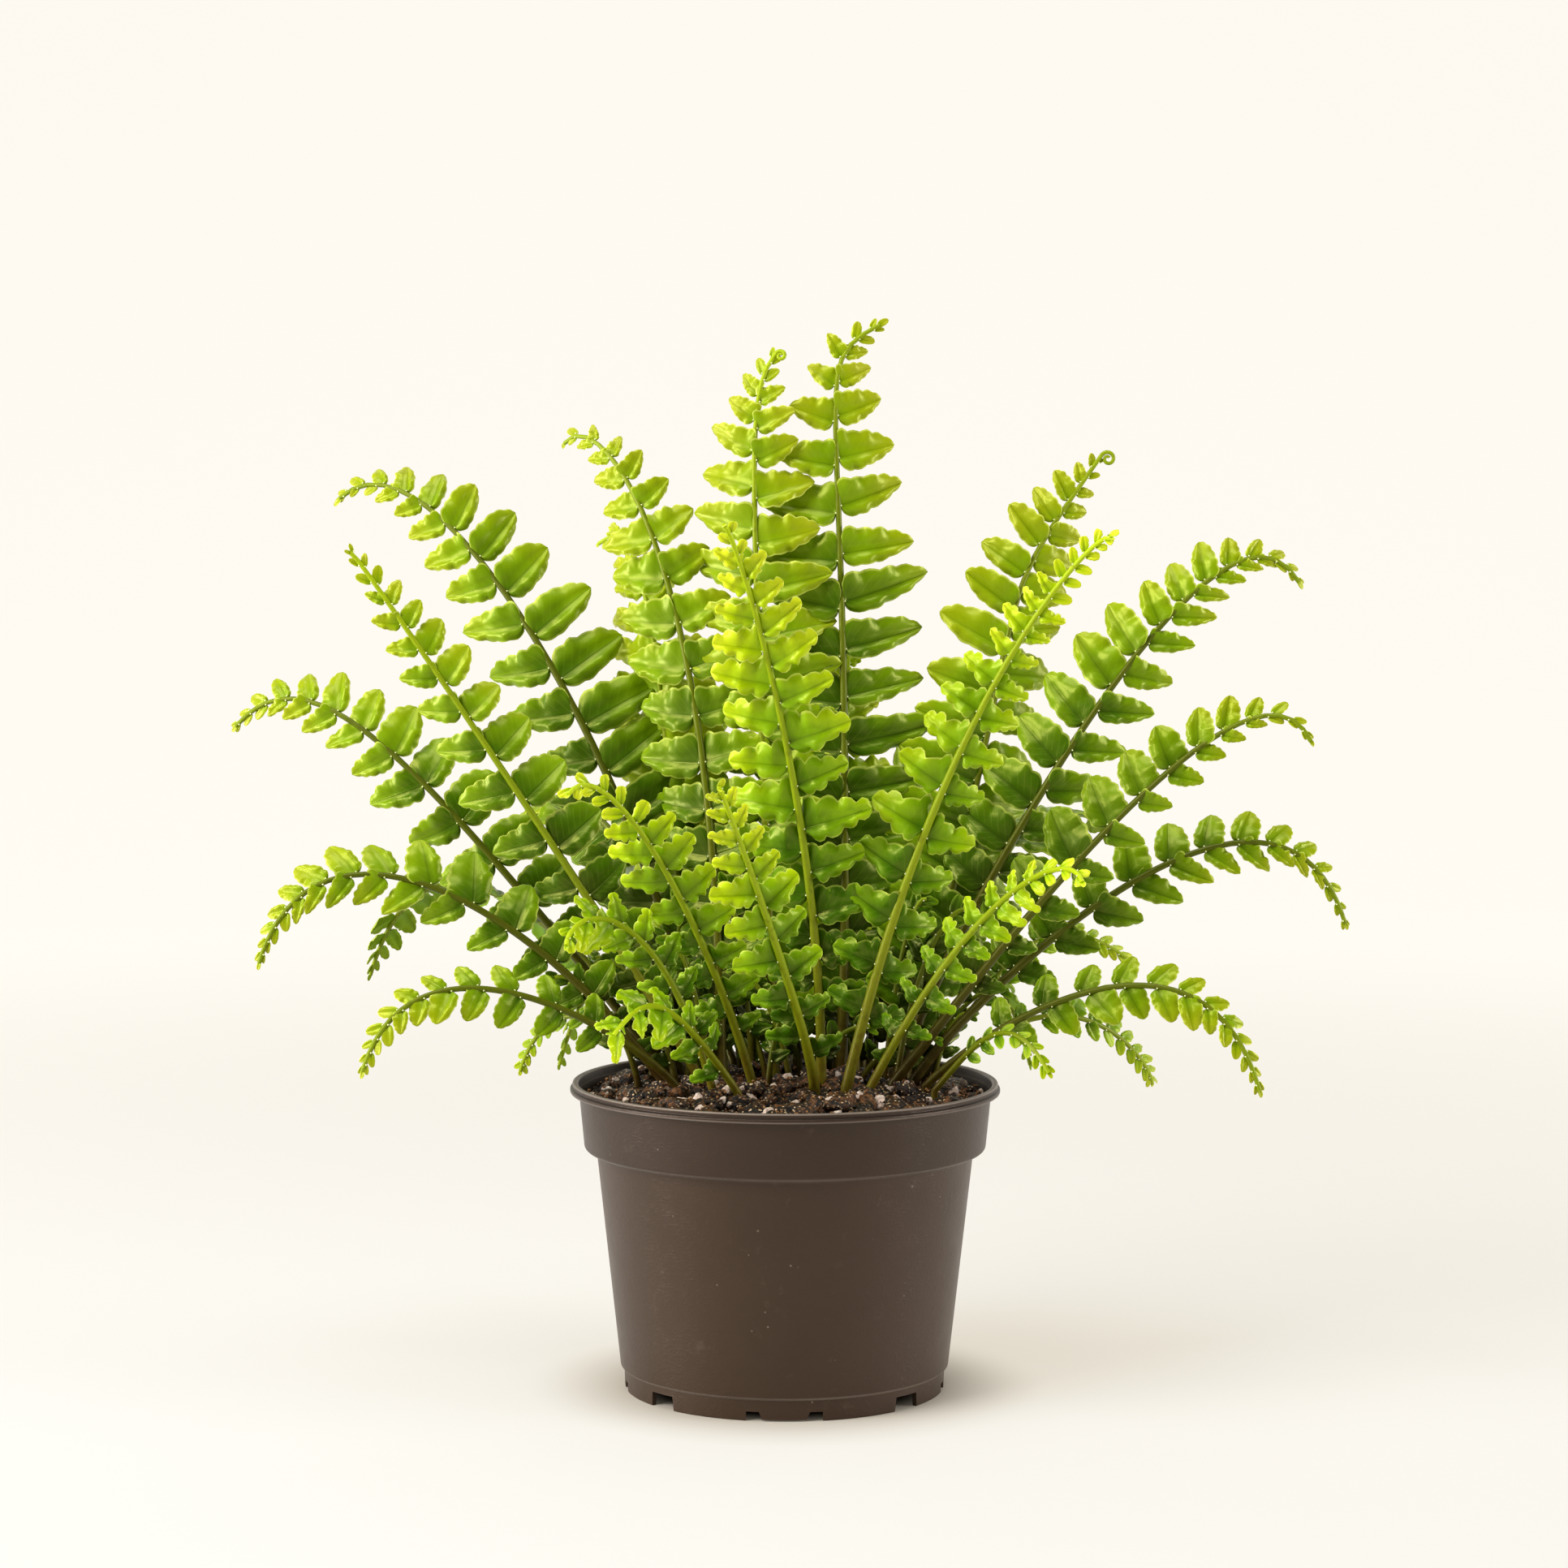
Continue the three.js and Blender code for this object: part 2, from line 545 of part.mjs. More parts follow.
// One closed surface for a frond: a four-sided stem whose side faces open into the leaflets.
function frondGeometry(stem) {
  const points = [];
  const faces = [];
  const quad = (a, b, c, d) => faces.push([a, b, c], [a, c, d]);
  for (const ring of stem.rings) {
    const half = ring.radius * stemFlatness;
    for (const [side, height] of [[1, half], [1, -half], [-1, -half], [-1, half]]) {
      points.push(ring.centre.clone()
        .addScaledVector(ring.right, side * ring.radius)
        .addScaledVector(ring.up, height));
    }
  }
  quad(3, 2, 1, 0);
  for (let i = 0; i + 1 < stem.rings.length; i += 1) {
    const [rightTop, rightBottom, leftBottom, leftTop] = [4 * i, 4 * i + 1, 4 * i + 2, 4 * i + 3];
    const index = i - stem.firstLeafRing;
    const leaf = index >= 0 ? stem.leaves[index] : null;
    quad(leftTop, rightTop, rightTop + 4, leftTop + 4);
    quad(rightBottom, leftBottom, leftBottom + 4, rightBottom + 4);
    if (leaf && leaf.side > 0) {
      addLeaf(leaf, points, faces, [rightTop, rightTop + 4], [rightBottom, rightBottom + 4]);
    } else {
      quad(rightTop, rightBottom, rightBottom + 4, rightTop + 4);
    }
    if (leaf && leaf.side < 0) {
      addLeaf(leaf, points, faces, [leftTop, leftTop + 4], [leftBottom, leftBottom + 4]);
    } else {
      quad(leftBottom, leftTop, leftTop + 4, leftBottom + 4);
    }
  }
  const last = 4 * (stem.rings.length - 1);
  const apex = points.length;
  points.push(stem.tip);
  for (const [a, b] of [[3, 0], [0, 1], [1, 2], [2, 3]]) {
    faces.push([last + a, last + b, apex]);
  }
  const geometry = new THREE.BufferGeometry().setFromPoints(points);
  geometry.setIndex(faces.flat());
  return geometry;
}

// Adds a leaflet's two faces, split alike, and its rim. Its base opens into the stem's side.
function addLeaf(leaf, points, faces, topBase, bottomBase) {
  const half = bladeThickness / 2;
  const middle = leaf.corners.slice(1, -1);
  const topStart = points.length;
  middle.forEach((corner) => points.push(corner.clone().addScaledVector(leaf.up, half)));
  const bottomStart = points.length;
  middle.forEach((corner) => points.push(corner.clone().addScaledVector(leaf.up, -half)));
  const order = (base, start) => [base[0], ...middle.map((_, i) => start + i), base[1]];
  const top = order(topBase, topStart);
  const bottom = order(bottomBase, bottomStart);
  const push = (a, b, c) => faces.push(leaf.side > 0 ? [a, b, c] : [c, b, a]);
  for (const [a, b, c] of leafFaces(leaf.shape)) {
    push(top[a], top[b], top[c]);
    push(bottom[c], bottom[b], bottom[a]);
  }
  for (let i = 0; i + 1 < top.length; i += 1) {
    push(top[i + 1], top[i], bottom[i]);
    push(top[i + 1], bottom[i], bottom[i + 1]);
  }
}

function finish(name, geometry, color, roughness) {
  const material = new THREE.MeshStandardMaterial({ color, roughness, metalness: 0 });
  const mesh = new THREE.Mesh(geometry, material);
  mesh.name = name;
  return mesh;
}

const stems = fronds.map(buildStem);
stems.forEach(addBeads);
growLeaves(stems);

const fern = new THREE.Group();
fern.name = 'boston_fern';
fern.add(finish('pot', buildPot(), potColour, 0.45));
fern.add(finish('soil', buildSoil(stems), soilColour, 0.95));
for (const stem of stems) {
  const colour = stem.frond.leaf > greenerFrom ? matureColour : youngColour;
  fern.add(finish(stem.frond.name, frondGeometry(stem), colour, 0.4));
}

export default fern;
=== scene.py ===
import json
import math
import random
import bpy
import bmesh
import numpy as np
from mathutils import Matrix, Vector

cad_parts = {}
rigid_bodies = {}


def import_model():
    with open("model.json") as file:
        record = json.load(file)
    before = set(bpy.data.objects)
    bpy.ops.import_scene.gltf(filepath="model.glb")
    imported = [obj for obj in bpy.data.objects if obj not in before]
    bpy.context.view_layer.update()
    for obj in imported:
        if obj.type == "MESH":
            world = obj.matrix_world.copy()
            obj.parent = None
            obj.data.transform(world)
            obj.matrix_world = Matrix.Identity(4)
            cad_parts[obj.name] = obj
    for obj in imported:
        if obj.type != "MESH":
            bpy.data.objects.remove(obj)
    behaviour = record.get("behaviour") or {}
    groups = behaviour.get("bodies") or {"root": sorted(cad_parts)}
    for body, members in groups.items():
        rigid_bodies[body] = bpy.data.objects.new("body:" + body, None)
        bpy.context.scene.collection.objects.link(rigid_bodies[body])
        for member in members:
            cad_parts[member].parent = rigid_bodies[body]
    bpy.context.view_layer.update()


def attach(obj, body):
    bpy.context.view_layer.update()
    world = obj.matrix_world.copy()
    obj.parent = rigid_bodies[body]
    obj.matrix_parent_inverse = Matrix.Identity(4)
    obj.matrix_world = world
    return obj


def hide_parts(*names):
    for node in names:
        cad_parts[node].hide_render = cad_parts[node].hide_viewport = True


# A boston fern in its nursery pot. Sizes are in millimetres here and in metres in the meshes.
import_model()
mm = 0.001


def srgb(red, green, blue):
    def linear(value):
        value /= 255
        return value / 12.92 if value <= 0.04045 else ((value + 0.055) / 1.055) ** 2.4
    return (linear(red), linear(green), linear(blue), 1)


def rampStops(*rows):
    # each row is a place from 0 to 1, then red, green and blue
    return [(place, srgb(*colour)) for place, *colour in rows]


# Node trees, for shaders and for geometry

class Wire:
    def __init__(self, nodes, node, out=0):
        self.nodes = nodes
        self.node = node
        self.socket = node.outputs[out] if node.outputs else None

    def out(self, name):
        return Wire(self.nodes, self.node, name)

    def math(self, operation, *values):
        return self.nodes.add("ShaderNodeMath", {"operation": operation}, dict(enumerate(values)))

    def __add__(self, other):
        return self.math("ADD", self, other)

    def __sub__(self, other):
        return self.math("SUBTRACT", self, other)

    def __rsub__(self, other):
        return self.math("SUBTRACT", other, self)

    def __mul__(self, other):
        return self.math("MULTIPLY", self, other)

    def __pow__(self, other):
        return self.math("POWER", self, other)

    __radd__ = __add__
    __rmul__ = __mul__

    def size(self):
        return self.math("ABSOLUTE", self)

    def wave(self):
        return self.math("SINE", self)

    def step(self, low, high):
        return self.nodes.add("ShaderNodeMapRange", {"interpolation_type": "SMOOTHSTEP"},
                              {"Value": self, "From Min": low, "From Max": high})


class Nodes:
    def __init__(self, tree):
        self.tree = tree

    def add(self, kind, settings=None, inputs=None, out=0):
        node = self.tree.nodes.new(kind)
        for name, value in (settings or {}).items():
            if name == "stops":
                self.setStops(node.color_ramp.elements, value)
            else:
                setattr(node, name, value)
        for key, value in (inputs or {}).items():
            if isinstance(value, Wire):
                self.tree.links.new(value.socket, node.inputs[key])
            else:
                node.inputs[key].default_value = value
        return Wire(self, node, out)

    def setStops(self, elements, stops):
        while len(elements) < len(stops):
            elements.new(0.5)
        for element, (place, colour) in zip(elements, stops):
            element.position = place
            element.color = colour

    def place(self):
        return self.add("ShaderNodeTexCoord", out="Object")

    def axis(self, vector, name):
        return self.add("ShaderNodeSeparateXYZ", None, {0: vector}, name)

    def attribute(self, name):
        return self.add("ShaderNodeAttribute", {"attribute_name": name}, None, "Fac")

    def noise(self, place, scale, detail=3.0, roughness=0.5):
        return self.add("ShaderNodeTexNoise", None,
                        {"Vector": place, "Scale": scale, "Detail": detail, "Roughness": roughness})

    def cells(self, place, scale):
        return self.add("ShaderNodeTexVoronoi", None, {"Vector": place, "Scale": scale}, "Distance")

    def mix(self, share, first, second):
        return self.add("ShaderNodeMix", {"data_type": "RGBA"}, {0: share, 6: first, 7: second}, 2)

    def ramp(self, stops, share):
        return self.add("ShaderNodeValToRGB", {"stops": stops}, {0: share}, "Color")

    def bump(self, strength, distance, height):
        return self.add("ShaderNodeBump", None,
                        {"Strength": strength, "Distance": distance, "Height": height}, "Normal")

    def surface(self, varying, constants):
        shader = self.add("ShaderNodeBsdfPrincipled", None, {**constants, **varying})
        self.add("ShaderNodeOutputMaterial", None, {"Surface": shader})

    def named(self, name, kind):
        return self.add("GeometryNodeInputNamedAttribute", {"data_type": kind}, {"Name": name}, "Attribute")

    def randomly(self, kind, low, high, seed):
        first = {"FLOAT_VECTOR": 0, "FLOAT": 2, "INT": 4}[kind]
        return self.add("FunctionNodeRandomValue", {"data_type": kind},
                        {first: low, first + 1: high, "Seed": seed}, first // 2)

    def scaled(self, vector, share):
        return self.add("ShaderNodeVectorMath", {"operation": "SCALE"}, {0: vector, "Scale": share})

    def shapesIn(self, collection):
        return self.add("GeometryNodeCollectionInfo", {"transform_space": "ORIGINAL"},
                        {"Collection": collection, "Separate Children": True, "Reset Children": True})

    def finished(self, geometry, material):
        return self.add("GeometryNodeSetMaterial", None, {"Geometry": geometry, "Material": material})

    def repeated(self, inputs, material):
        repeats = self.add("GeometryNodeInstanceOnPoints", None, inputs)
        return self.finished(self.add("GeometryNodeRealizeInstances", None, {0: repeats}), material)


def newMaterial(name):
    material = bpy.data.materials.new(name)
    material.use_nodes = True
    material.node_tree.nodes.clear()
    return material, Nodes(material.node_tree)


# Leaf finish: ages run from old and dark to young and bright, "fresh" leaves are greener

leafFinish = {
    "ages": rampStops((0, 12, 34, 0), (0.3, 56, 90, 0), (0.55, 112, 143, 0), (0.8, 141, 155, 4),
                      (1, 158, 162, 34)),
    "freshAges": rampStops((0, 10, 38, 0), (0.3, 56, 98, 0), (0.55, 122, 161, 0), (0.8, 168, 192, 0),
                           (1, 196, 206, 26)),
    "marginAndGlow": srgb(198, 207, 88), "underside": srgb(120, 164, 30), "vein": srgb(170, 200, 60),
    "rib": srgb(36, 66, 2), "sideVeins": 8, "veinLean": 2.2, "bump": 0.3,
    "blotchAge": 0.26, "tipAgeAndShade": 0.34, "edgeAgeAndGlow": 0.12,
}


def leafMaterial(finish):
    material, nodes = newMaterial("leafGreen")
    spread = nodes.add("ShaderNodeUVMap", {"uv_map": "leafUv"})
    along = nodes.axis(spread, "X")
    across = (along.out("Y") * 2 - 1).size()
    blotch = nodes.noise(nodes.place(), 90.0)
    ownAge = nodes.attribute("age")
    # the age rises towards each leaflet's tip and edges: partly its own colour, partly painted shade near
    # the stalk and midrib and painted backlit glow at the thin tip and edges
    age = ownAge + (blotch - 0.5) * finish["blotchAge"] + (along - 0.45) * finish["tipAgeAndShade"]
    age = age + (across - 0.4) * finish["edgeAgeAndGlow"]
    green = nodes.mix(nodes.attribute("fresh"), nodes.ramp(finish["ages"], age),
                      nodes.ramp(finish["freshAges"], age))
    rib = 1 - across.step(0.015, 0.07)
    vein = ((along * finish["sideVeins"] - across * finish["veinLean"]) * 2 * math.pi).wave().step(0.7, 1.0)
    vein = vein * across.step(0.03, 0.2) * (1 - across.step(0.6, 0.95))
    green = nodes.mix(vein * 0.05, green, finish["vein"])
    green = nodes.mix(rib * (0.42 - ownAge * 0.36), green, finish["rib"])
    # a pale band along the margin: partly the leaflet's own pale edge, partly painted backlit glow
    marginAndGlow = across.step(0.88, 0.96)
    green = nodes.mix(marginAndGlow * (ownAge * 0.75 + 0.16), green, finish["marginAndGlow"])
    under = nodes.attribute("under").step(0.4, 0.9)
    colour = nodes.mix(under * 0.5, green, finish["underside"])
    grown = 1 - ownAge.step(0.3, 0.6)
    bump = nodes.bump(finish["bump"], 0.0003, (vein * 0.15 - rib) * grown)
    rough = under * 0.25 + blotch * 0.12 + 0.26
    nodes.surface({"Base Color": colour, "Roughness": rough, "Normal": bump},
                  {"Specular IOR Level": 0.58, "Specular Tint": (1, 1, 0.22, 1)})
    return material


# Stem finish, from the root to the tip, with pale dots where the leaflets join

stemFinish = {
    "mature": rampStops((0, 50, 32, 6), (0.12, 60, 52, 4), (0.4, 68, 74, 2), (0.75, 74, 84, 2),
                        (1, 116, 134, 8)),
    "young": rampStops((0, 104, 90, 18), (0.12, 124, 126, 14), (0.4, 140, 158, 12), (0.75, 156, 178, 8),
                       (1, 184, 206, 14)),
    "streak": srgb(74, 60, 12),
}


def stemMaterial(finish):
    material, nodes = newMaterial("stemOlive")
    streak = nodes.noise(nodes.place(), 420.0, 4.0)
    share = nodes.attribute("share") + (streak - 0.5) * 0.3
    colour = nodes.mix(nodes.attribute("age"), nodes.ramp(finish["mature"], share),
                       nodes.ramp(finish["young"], share))
    colour = nodes.mix(streak.step(0.55, 0.75) * 0.4, colour, finish["streak"])
    bump = nodes.bump(0.3, 0.0003, streak)
    nodes.surface({"Base Color": colour, "Roughness": streak * 0.2 + 0.3, "Normal": bump},
                  {"Specular IOR Level": 0.35, "Specular Tint": (1, 1, 0.4, 1)})
    return material


def dotMaterial():
    material, nodes = newMaterial("jointDot")
    colour = nodes.mix(nodes.noise(nodes.place(), 900.0), srgb(236, 236, 190), srgb(206, 214, 120))
    nodes.surface({"Base Color": colour}, {"Roughness": 0.35})
    return material


# Pot finish: "bands" are the height of an edge and how its mark fades, and each edge's share says how pale
# it is made, partly as rubbed wear and partly as a painted highlight. The groove's dark line and the darker
# collar are painted shade.

potFinish = {
    "base": (srgb(44, 31, 22), srgb(60, 45, 34)), "collarShade": srgb(26, 18, 12), "scuff": srgb(98, 84, 72),
    "speck": srgb(140, 128, 112), "wornEdgeHighlight": srgb(168, 154, 142), "grooveShade": srgb(22, 15, 11),
    "collarShadeFrom": (66, 69),
    "bands": {"ledge": (6.2, 0.15, 0.6), "fold": (67.2, 0.2, 0.9), "rim": (85.8, 0.05, 0.35),
              "grooveShade": (84.6, 0.1, 0.45), "lip": (83.6, 0.05, 0.35)},
    "wearAndHighlight": {"ledge": 0.4, "fold": 0.3, "rim": 0.5, "lip": 0.3},
}


def potMaterial(finish):
    material, nodes = newMaterial("potPlastic")
    place = nodes.place()
    height = nodes.axis(place, "Z") * 1000
    cloud = nodes.noise(place, 22.0, 4.0, 0.6)
    grain = nodes.noise(place, 1500.0, 2.0)
    scuff = nodes.noise(place, 130.0, 6.0, 0.7)
    flat = nodes.add("ShaderNodeMapping", None, {"Vector": place, "Scale": (1.0, 1.0, 2.6)})
    scratch = nodes.noise(flat, 520.0, 3.0, 0.6).step(0.45, 0.7)
    specks = (1 - nodes.cells(place, 230.0).step(0.03, 0.1)) * scuff.step(0.52, 0.6)
    bands = {name: 1 - (height - middle).size().step(near, far)
             for name, (middle, near, far) in finish["bands"].items()}
    ledge, fold, rim, lip = [bands[name] * share for name, share in finish["wearAndHighlight"].items()]
    colour = nodes.mix(cloud, *finish["base"])
    # the collar above the fold is made darker: painted shade
    colour = nodes.mix(height.step(*finish["collarShadeFrom"]) * 0.45, colour, finish["collarShade"])
    colour = nodes.mix(scuff.step(0.6, 0.78) * 0.25, colour, finish["scuff"])
    colour = nodes.mix(specks * 0.6, colour, finish["speck"])
    # pale lines on the ledge, fold, rim and lip: partly rubbed wear, partly painted highlight
    colour = nodes.mix((ledge + fold + rim + lip) * (cloud * 0.9 + 0.3), colour, finish["wornEdgeHighlight"])
    # a dark line in the rim's groove: painted shade in the recess
    colour = nodes.mix(bands["grooveShade"] * 0.8, colour, finish["grooveShade"])
    relief = grain * 0.25 + scuff * 0.5 + cloud * 0.5 + scratch * scuff.step(0.4, 0.6) * 0.35
    bump = nodes.bump(0.28, 0.0004, relief)
    nodes.surface({"Base Color": colour, "Roughness": scuff * 0.16 + cloud * 0.1 + 0.28, "Normal": bump},
                  {"Specular IOR Level": 0.42, "Specular Tint": (1, 0.78, 0.64, 1)})
    return material


# Soil finishes, each with a dark and a light tone and small specks

crumbFinishes = {
    "peatBrown": {"dark": srgb(3, 2, 1), "light": srgb(54, 31, 13), "scale": 800.0, "rough": 0.4,
                  "speck": srgb(166, 116, 66), "speckShare": 0.22},
    "barkBrown": {"dark": srgb(6, 3, 2), "light": srgb(128, 82, 42), "scale": 600.0, "rough": 0.35,
                  "speck": srgb(244, 208, 160), "speckShare": 0.28},
    "tanGrain": {"dark": srgb(110, 64, 26), "light": srgb(222, 168, 104), "scale": 1400.0, "rough": 0.45,
                 "speck": srgb(250, 230, 190), "speckShare": 0.1},
    "perliteWhite": {"dark": srgb(208, 182, 164), "light": srgb(255, 244, 232), "scale": 700.0, "rough": 0.5,
                     "speck": srgb(64, 36, 22), "speckShare": 0.24},
}


def crumbMaterial(name, finish):
    material, nodes = newMaterial(name)
    place = nodes.place()
    scale = finish["scale"]
    fine = nodes.noise(place, scale, 5.0, 0.7)
    broad = nodes.noise(place, scale / 6, 3.0)
    cells = nodes.cells(place, scale * 1.5)
    specks = (1 - cells.step(0.2, 0.34)) * broad.step(0.62 - finish["speckShare"], 0.7)
    colour = nodes.mix(fine.step(0.42, 0.7), finish["dark"], finish["light"])
    colour = nodes.mix(broad.step(0.4, 0.65) * 0.8, colour, finish["dark"])
    colour = nodes.mix(specks, colour, finish["speck"])
    bump = nodes.bump(0.9, 0.0009, fine - cells * 0.6)
    nodes.surface({"Base Color": colour, "Roughness": fine * 0.2 + finish["rough"], "Normal": bump},
                  {"Specular IOR Level": 0.3})
    return material


leafGreen = leafMaterial(leafFinish)
stemOlive = stemMaterial(stemFinish)
jointDot = dotMaterial()
potPlastic = potMaterial(potFinish)
crumbs = {name: crumbMaterial(name, finish) for name, finish in crumbFinishes.items()}
print("materials made")


# Meshes and pieces

def addObject(name, data, home=None):
    piece = bpy.data.objects.new(name, data)
    (home or bpy.context.scene.collection).objects.link(piece)
    return piece


def meshOf(name, points, faces, edges=()):
    mesh = bpy.data.meshes.new(name)
    mesh.from_pydata([tuple(point) for point in points], edges, faces)
    mesh.update()
    return mesh


def newStore(name):
    store = bpy.data.collections.new(name)
    bpy.context.scene.collection.children.link(store)
    return store


def smoothMesh(mesh):
    mesh.polygons.foreach_set("use_smooth", [True] * len(mesh.polygons))


def plain(piece, dropped=()):
    # the modifier's result becomes the piece's own mesh
    graph = bpy.context.evaluated_depsgraph_get()
    source = piece.evaluated_get(graph)
    mesh = bpy.data.meshes.new_from_object(source, preserve_all_data_layers=True, depsgraph=graph)
    piece.modifiers.clear()
    piece.data = mesh
    mesh.name = piece.name
    for name in dropped:
        if name in mesh.attributes:
            mesh.attributes.remove(mesh.attributes[name])


def settle(piece, slot, *nodes):
    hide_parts(*nodes)
    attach(piece, "root")


def geometryTree(name, sockets):
    tree = bpy.data.node_groups.new(name, "GeometryNodeTree")
    tree.interface.new_socket(name="Geometry", in_out="OUTPUT", socket_type="NodeSocketGeometry")
    tree.interface.new_socket(name="Geometry", in_out="INPUT", socket_type="NodeSocketGeometry")
    for label, kind, value in sockets:
        socket = tree.interface.new_socket(name=label, in_out="INPUT", socket_type="NodeSocket" + kind)
        if value is not None:
            socket.default_value = value
    nodes = Nodes(tree)
    return tree, nodes, nodes.add("NodeGroupInput", out="Geometry")


def runTree(piece, tree, **values):
    modifier = piece.modifiers.new(tree.name, "NODES")
    modifier.node_group = tree
    wanted = {label.replace("_", " "): value for label, value in values.items()}
    for item in tree.interface.items_tree:
        if item.in_out == "INPUT" and item.name in wanted:
            modifier[item.identifier] = wanted[item.name]


# Leaflets: a flat outline of a lower and an upper edge, lobed, waved and folded at the midrib.
# Outlines run from the stalk to the tip, in shares of the leaflet's length.

leafletForms = {
    "pointed": {
        "upper": [(0, 0.014), (0.012, 0.17), (0.03, 0.31), (0.1, 0.37), (0.22, 0.345), (0.4, 0.305),
                  (0.58, 0.268), (0.75, 0.212), (0.88, 0.145), (0.96, 0.075), (1, 0)],
        "lower": [(0, -0.014), (0.01, -0.09), (0.05, -0.16), (0.16, -0.205), (0.34, -0.21),
                  (0.52, -0.185), (0.7, -0.145), (0.86, -0.09), (0.955, -0.04), (1, 0)],
        "width": 0.57, "lobes": 5, "lobeDepth": 0.032, "lowerDepth": 0.02, "lobePower": 1.2, "waves": 2.4,
        "waveHeight": 0.058, "fold": 0.3, "pillow": 0.09, "droop": 0.12, "curl": 0.04,
        "sweep": 0.06, "variants": 8,
    },
    "round": {
        "upper": [(0, 0.014), (0.01, 0.15), (0.03, 0.28), (0.1, 0.36), (0.22, 0.39), (0.4, 0.385),
                  (0.58, 0.355), (0.74, 0.3), (0.87, 0.22), (0.96, 0.12), (1, 0)],
        "lower": [(0, -0.014), (0.0, -0.08), (0.03, -0.16), (0.12, -0.22), (0.28, -0.245),
                  (0.46, -0.245), (0.64, -0.22), (0.8, -0.168), (0.93, -0.088), (1, 0)],
        "width": 0.63, "lobes": 5, "lobeDepth": 0.03, "lowerDepth": 0.02, "lobePower": 1.2, "waves": 2.2,
        "waveHeight": 0.046, "fold": 0.3, "pillow": 0.11, "droop": 0.16, "curl": 0.06,
        "sweep": 0.05, "variants": 8,
    },
    "lobed": {
        "upper": [(0, 0.02), (0.005, 0.14), (0.025, 0.29), (0.09, 0.4), (0.2, 0.4), (0.38, 0.33),
                  (0.56, 0.28), (0.74, 0.225), (0.88, 0.175), (0.97, 0.1), (1, 0)],
        "lower": [(0, -0.02), (0.015, -0.08), (0.06, -0.16), (0.17, -0.22), (0.34, -0.22),
                  (0.52, -0.185), (0.7, -0.145), (0.86, -0.11), (0.96, -0.06), (1, 0)],
        "width": 0.62, "lobes": 4, "lobeDepth": 0.085, "lowerDepth": 0.055, "lobePower": 0.75,
        "waves": 2.2, "waveHeight": 0.1, "fold": 0.24, "pillow": 0.12, "droop": 0.14, "curl": 0.07,
        "sweep": 0.03, "variants": 9,
    },
    "ivy": {
        "upper": [(0, 0.02), (0.005, 0.14), (0.03, 0.33), (0.11, 0.45), (0.23, 0.43), (0.36, 0.31),
                  (0.5, 0.26), (0.64, 0.27), (0.8, 0.22), (0.93, 0.12), (1, 0)],
        "lower": [(0, -0.02), (0.02, -0.1), (0.1, -0.22), (0.24, -0.26), (0.4, -0.22),
                  (0.57, -0.18), (0.76, -0.15), (0.9, -0.09), (1, 0)],
        "width": 0.69, "lobes": 4, "lobeDepth": 0.075, "lowerDepth": 0.06, "lobePower": 0.75,
        "waves": 1.8, "waveHeight": 0.1, "fold": 0.2, "pillow": 0.12, "droop": 0.16, "curl": 0.08,
        "sweep": 0.05, "variants": 8,
    },
    "inner": {
        "upper": [(0, 0.02), (0.02, 0.2), (0.1, 0.36), (0.26, 0.39), (0.5, 0.35), (0.76, 0.24),
                  (0.93, 0.11), (1, 0)],
        "lower": [(0, -0.02), (0.04, -0.13), (0.14, -0.21), (0.32, -0.22), (0.56, -0.18),
                  (0.8, -0.11), (0.94, -0.04), (1, 0)],
        "width": 0.6, "lobes": 3, "lobeDepth": 0.05, "lowerDepth": 0.03, "lobePower": 1, "waves": 1.8,
        "waveHeight": 0.07, "fold": 0.26, "pillow": 0.12, "droop": 0.18, "curl": 0.08,
        "sweep": 0.04, "variants": 6,
    },
    "bud": {
        "upper": [(0, 0.1), (0.05, 0.18), (0.18, 0.25), (0.42, 0.28), (0.66, 0.265), (0.85, 0.2),
                  (0.96, 0.1), (1, 0)],
        "lower": [(0, -0.1), (0.07, -0.16), (0.22, -0.2), (0.46, -0.21), (0.7, -0.19),
                  (0.87, -0.14), (0.97, -0.07), (1, 0)],
        "width": 0.5, "lobes": 3, "lobeDepth": 0.02, "lowerDepth": 0.012, "lobePower": 1.2, "waves": 1.2,
        "waveHeight": 0.02, "fold": 0.16, "pillow": 0.06, "droop": 0.1, "curl": 0.03, "sweep": 0.02,
        "variants": 5,
    },
    "finger": {
        "upper": [(0, 0.13), (0.1, 0.17), (0.3, 0.2), (0.6, 0.24), (0.84, 0.22), (0.96, 0.12), (1, 0)],
        "lower": [(0, -0.13), (0.12, -0.15), (0.32, -0.17), (0.6, -0.2), (0.84, -0.19),
                  (0.96, -0.11), (1, 0)],
        "width": 0.44, "lobes": 3, "lobeDepth": 0.03, "lowerDepth": 0.03, "lobePower": 1, "waves": 1.0,
        "waveHeight": 0.04, "fold": 0.12, "pillow": 0.16, "droop": 0.2, "curl": 0.1, "sweep": 0.05,
        "variants": 5,
    },
}
leafletMesh = {"baseColumns": 3, "columnsPerLobe": 4, "rowsPerHalf": 3, "thickness": 0.016,
               "upperEar": 0.24, "lowerEar": 0.13, "lobeSpread": (0.55, 1.4), "seed": 11}


def rounded(points, places):
    # a smooth line through the points, sampled at shares of its length
    line = np.array(points, float)
    ends = np.vstack([2 * line[0] - line[1], line, 2 * line[-1] - line[-2]])
    dense = []
    for i in range(len(line) - 1):
        p, q, r, s = ends[i:i + 4]
        for t in np.linspace(0, 1, 12, endpoint=False):
            dense.append(0.5 * (2 * q + (r - p) * t + (2 * p - 5 * q + 4 * r - s) * t ** 2
                                + (3 * q - p - 3 * r + s) * t ** 3))
    dense = np.array(dense + [line[-1]])
    run = np.concatenate([[0], np.cumsum(np.linalg.norm(np.diff(dense, axis=0), axis=1))])
    at = np.array(places) * run[-1]
    return np.stack([np.interp(at, run, dense[:, 0]), np.interp(at, run, dense[:, 1])], 1)


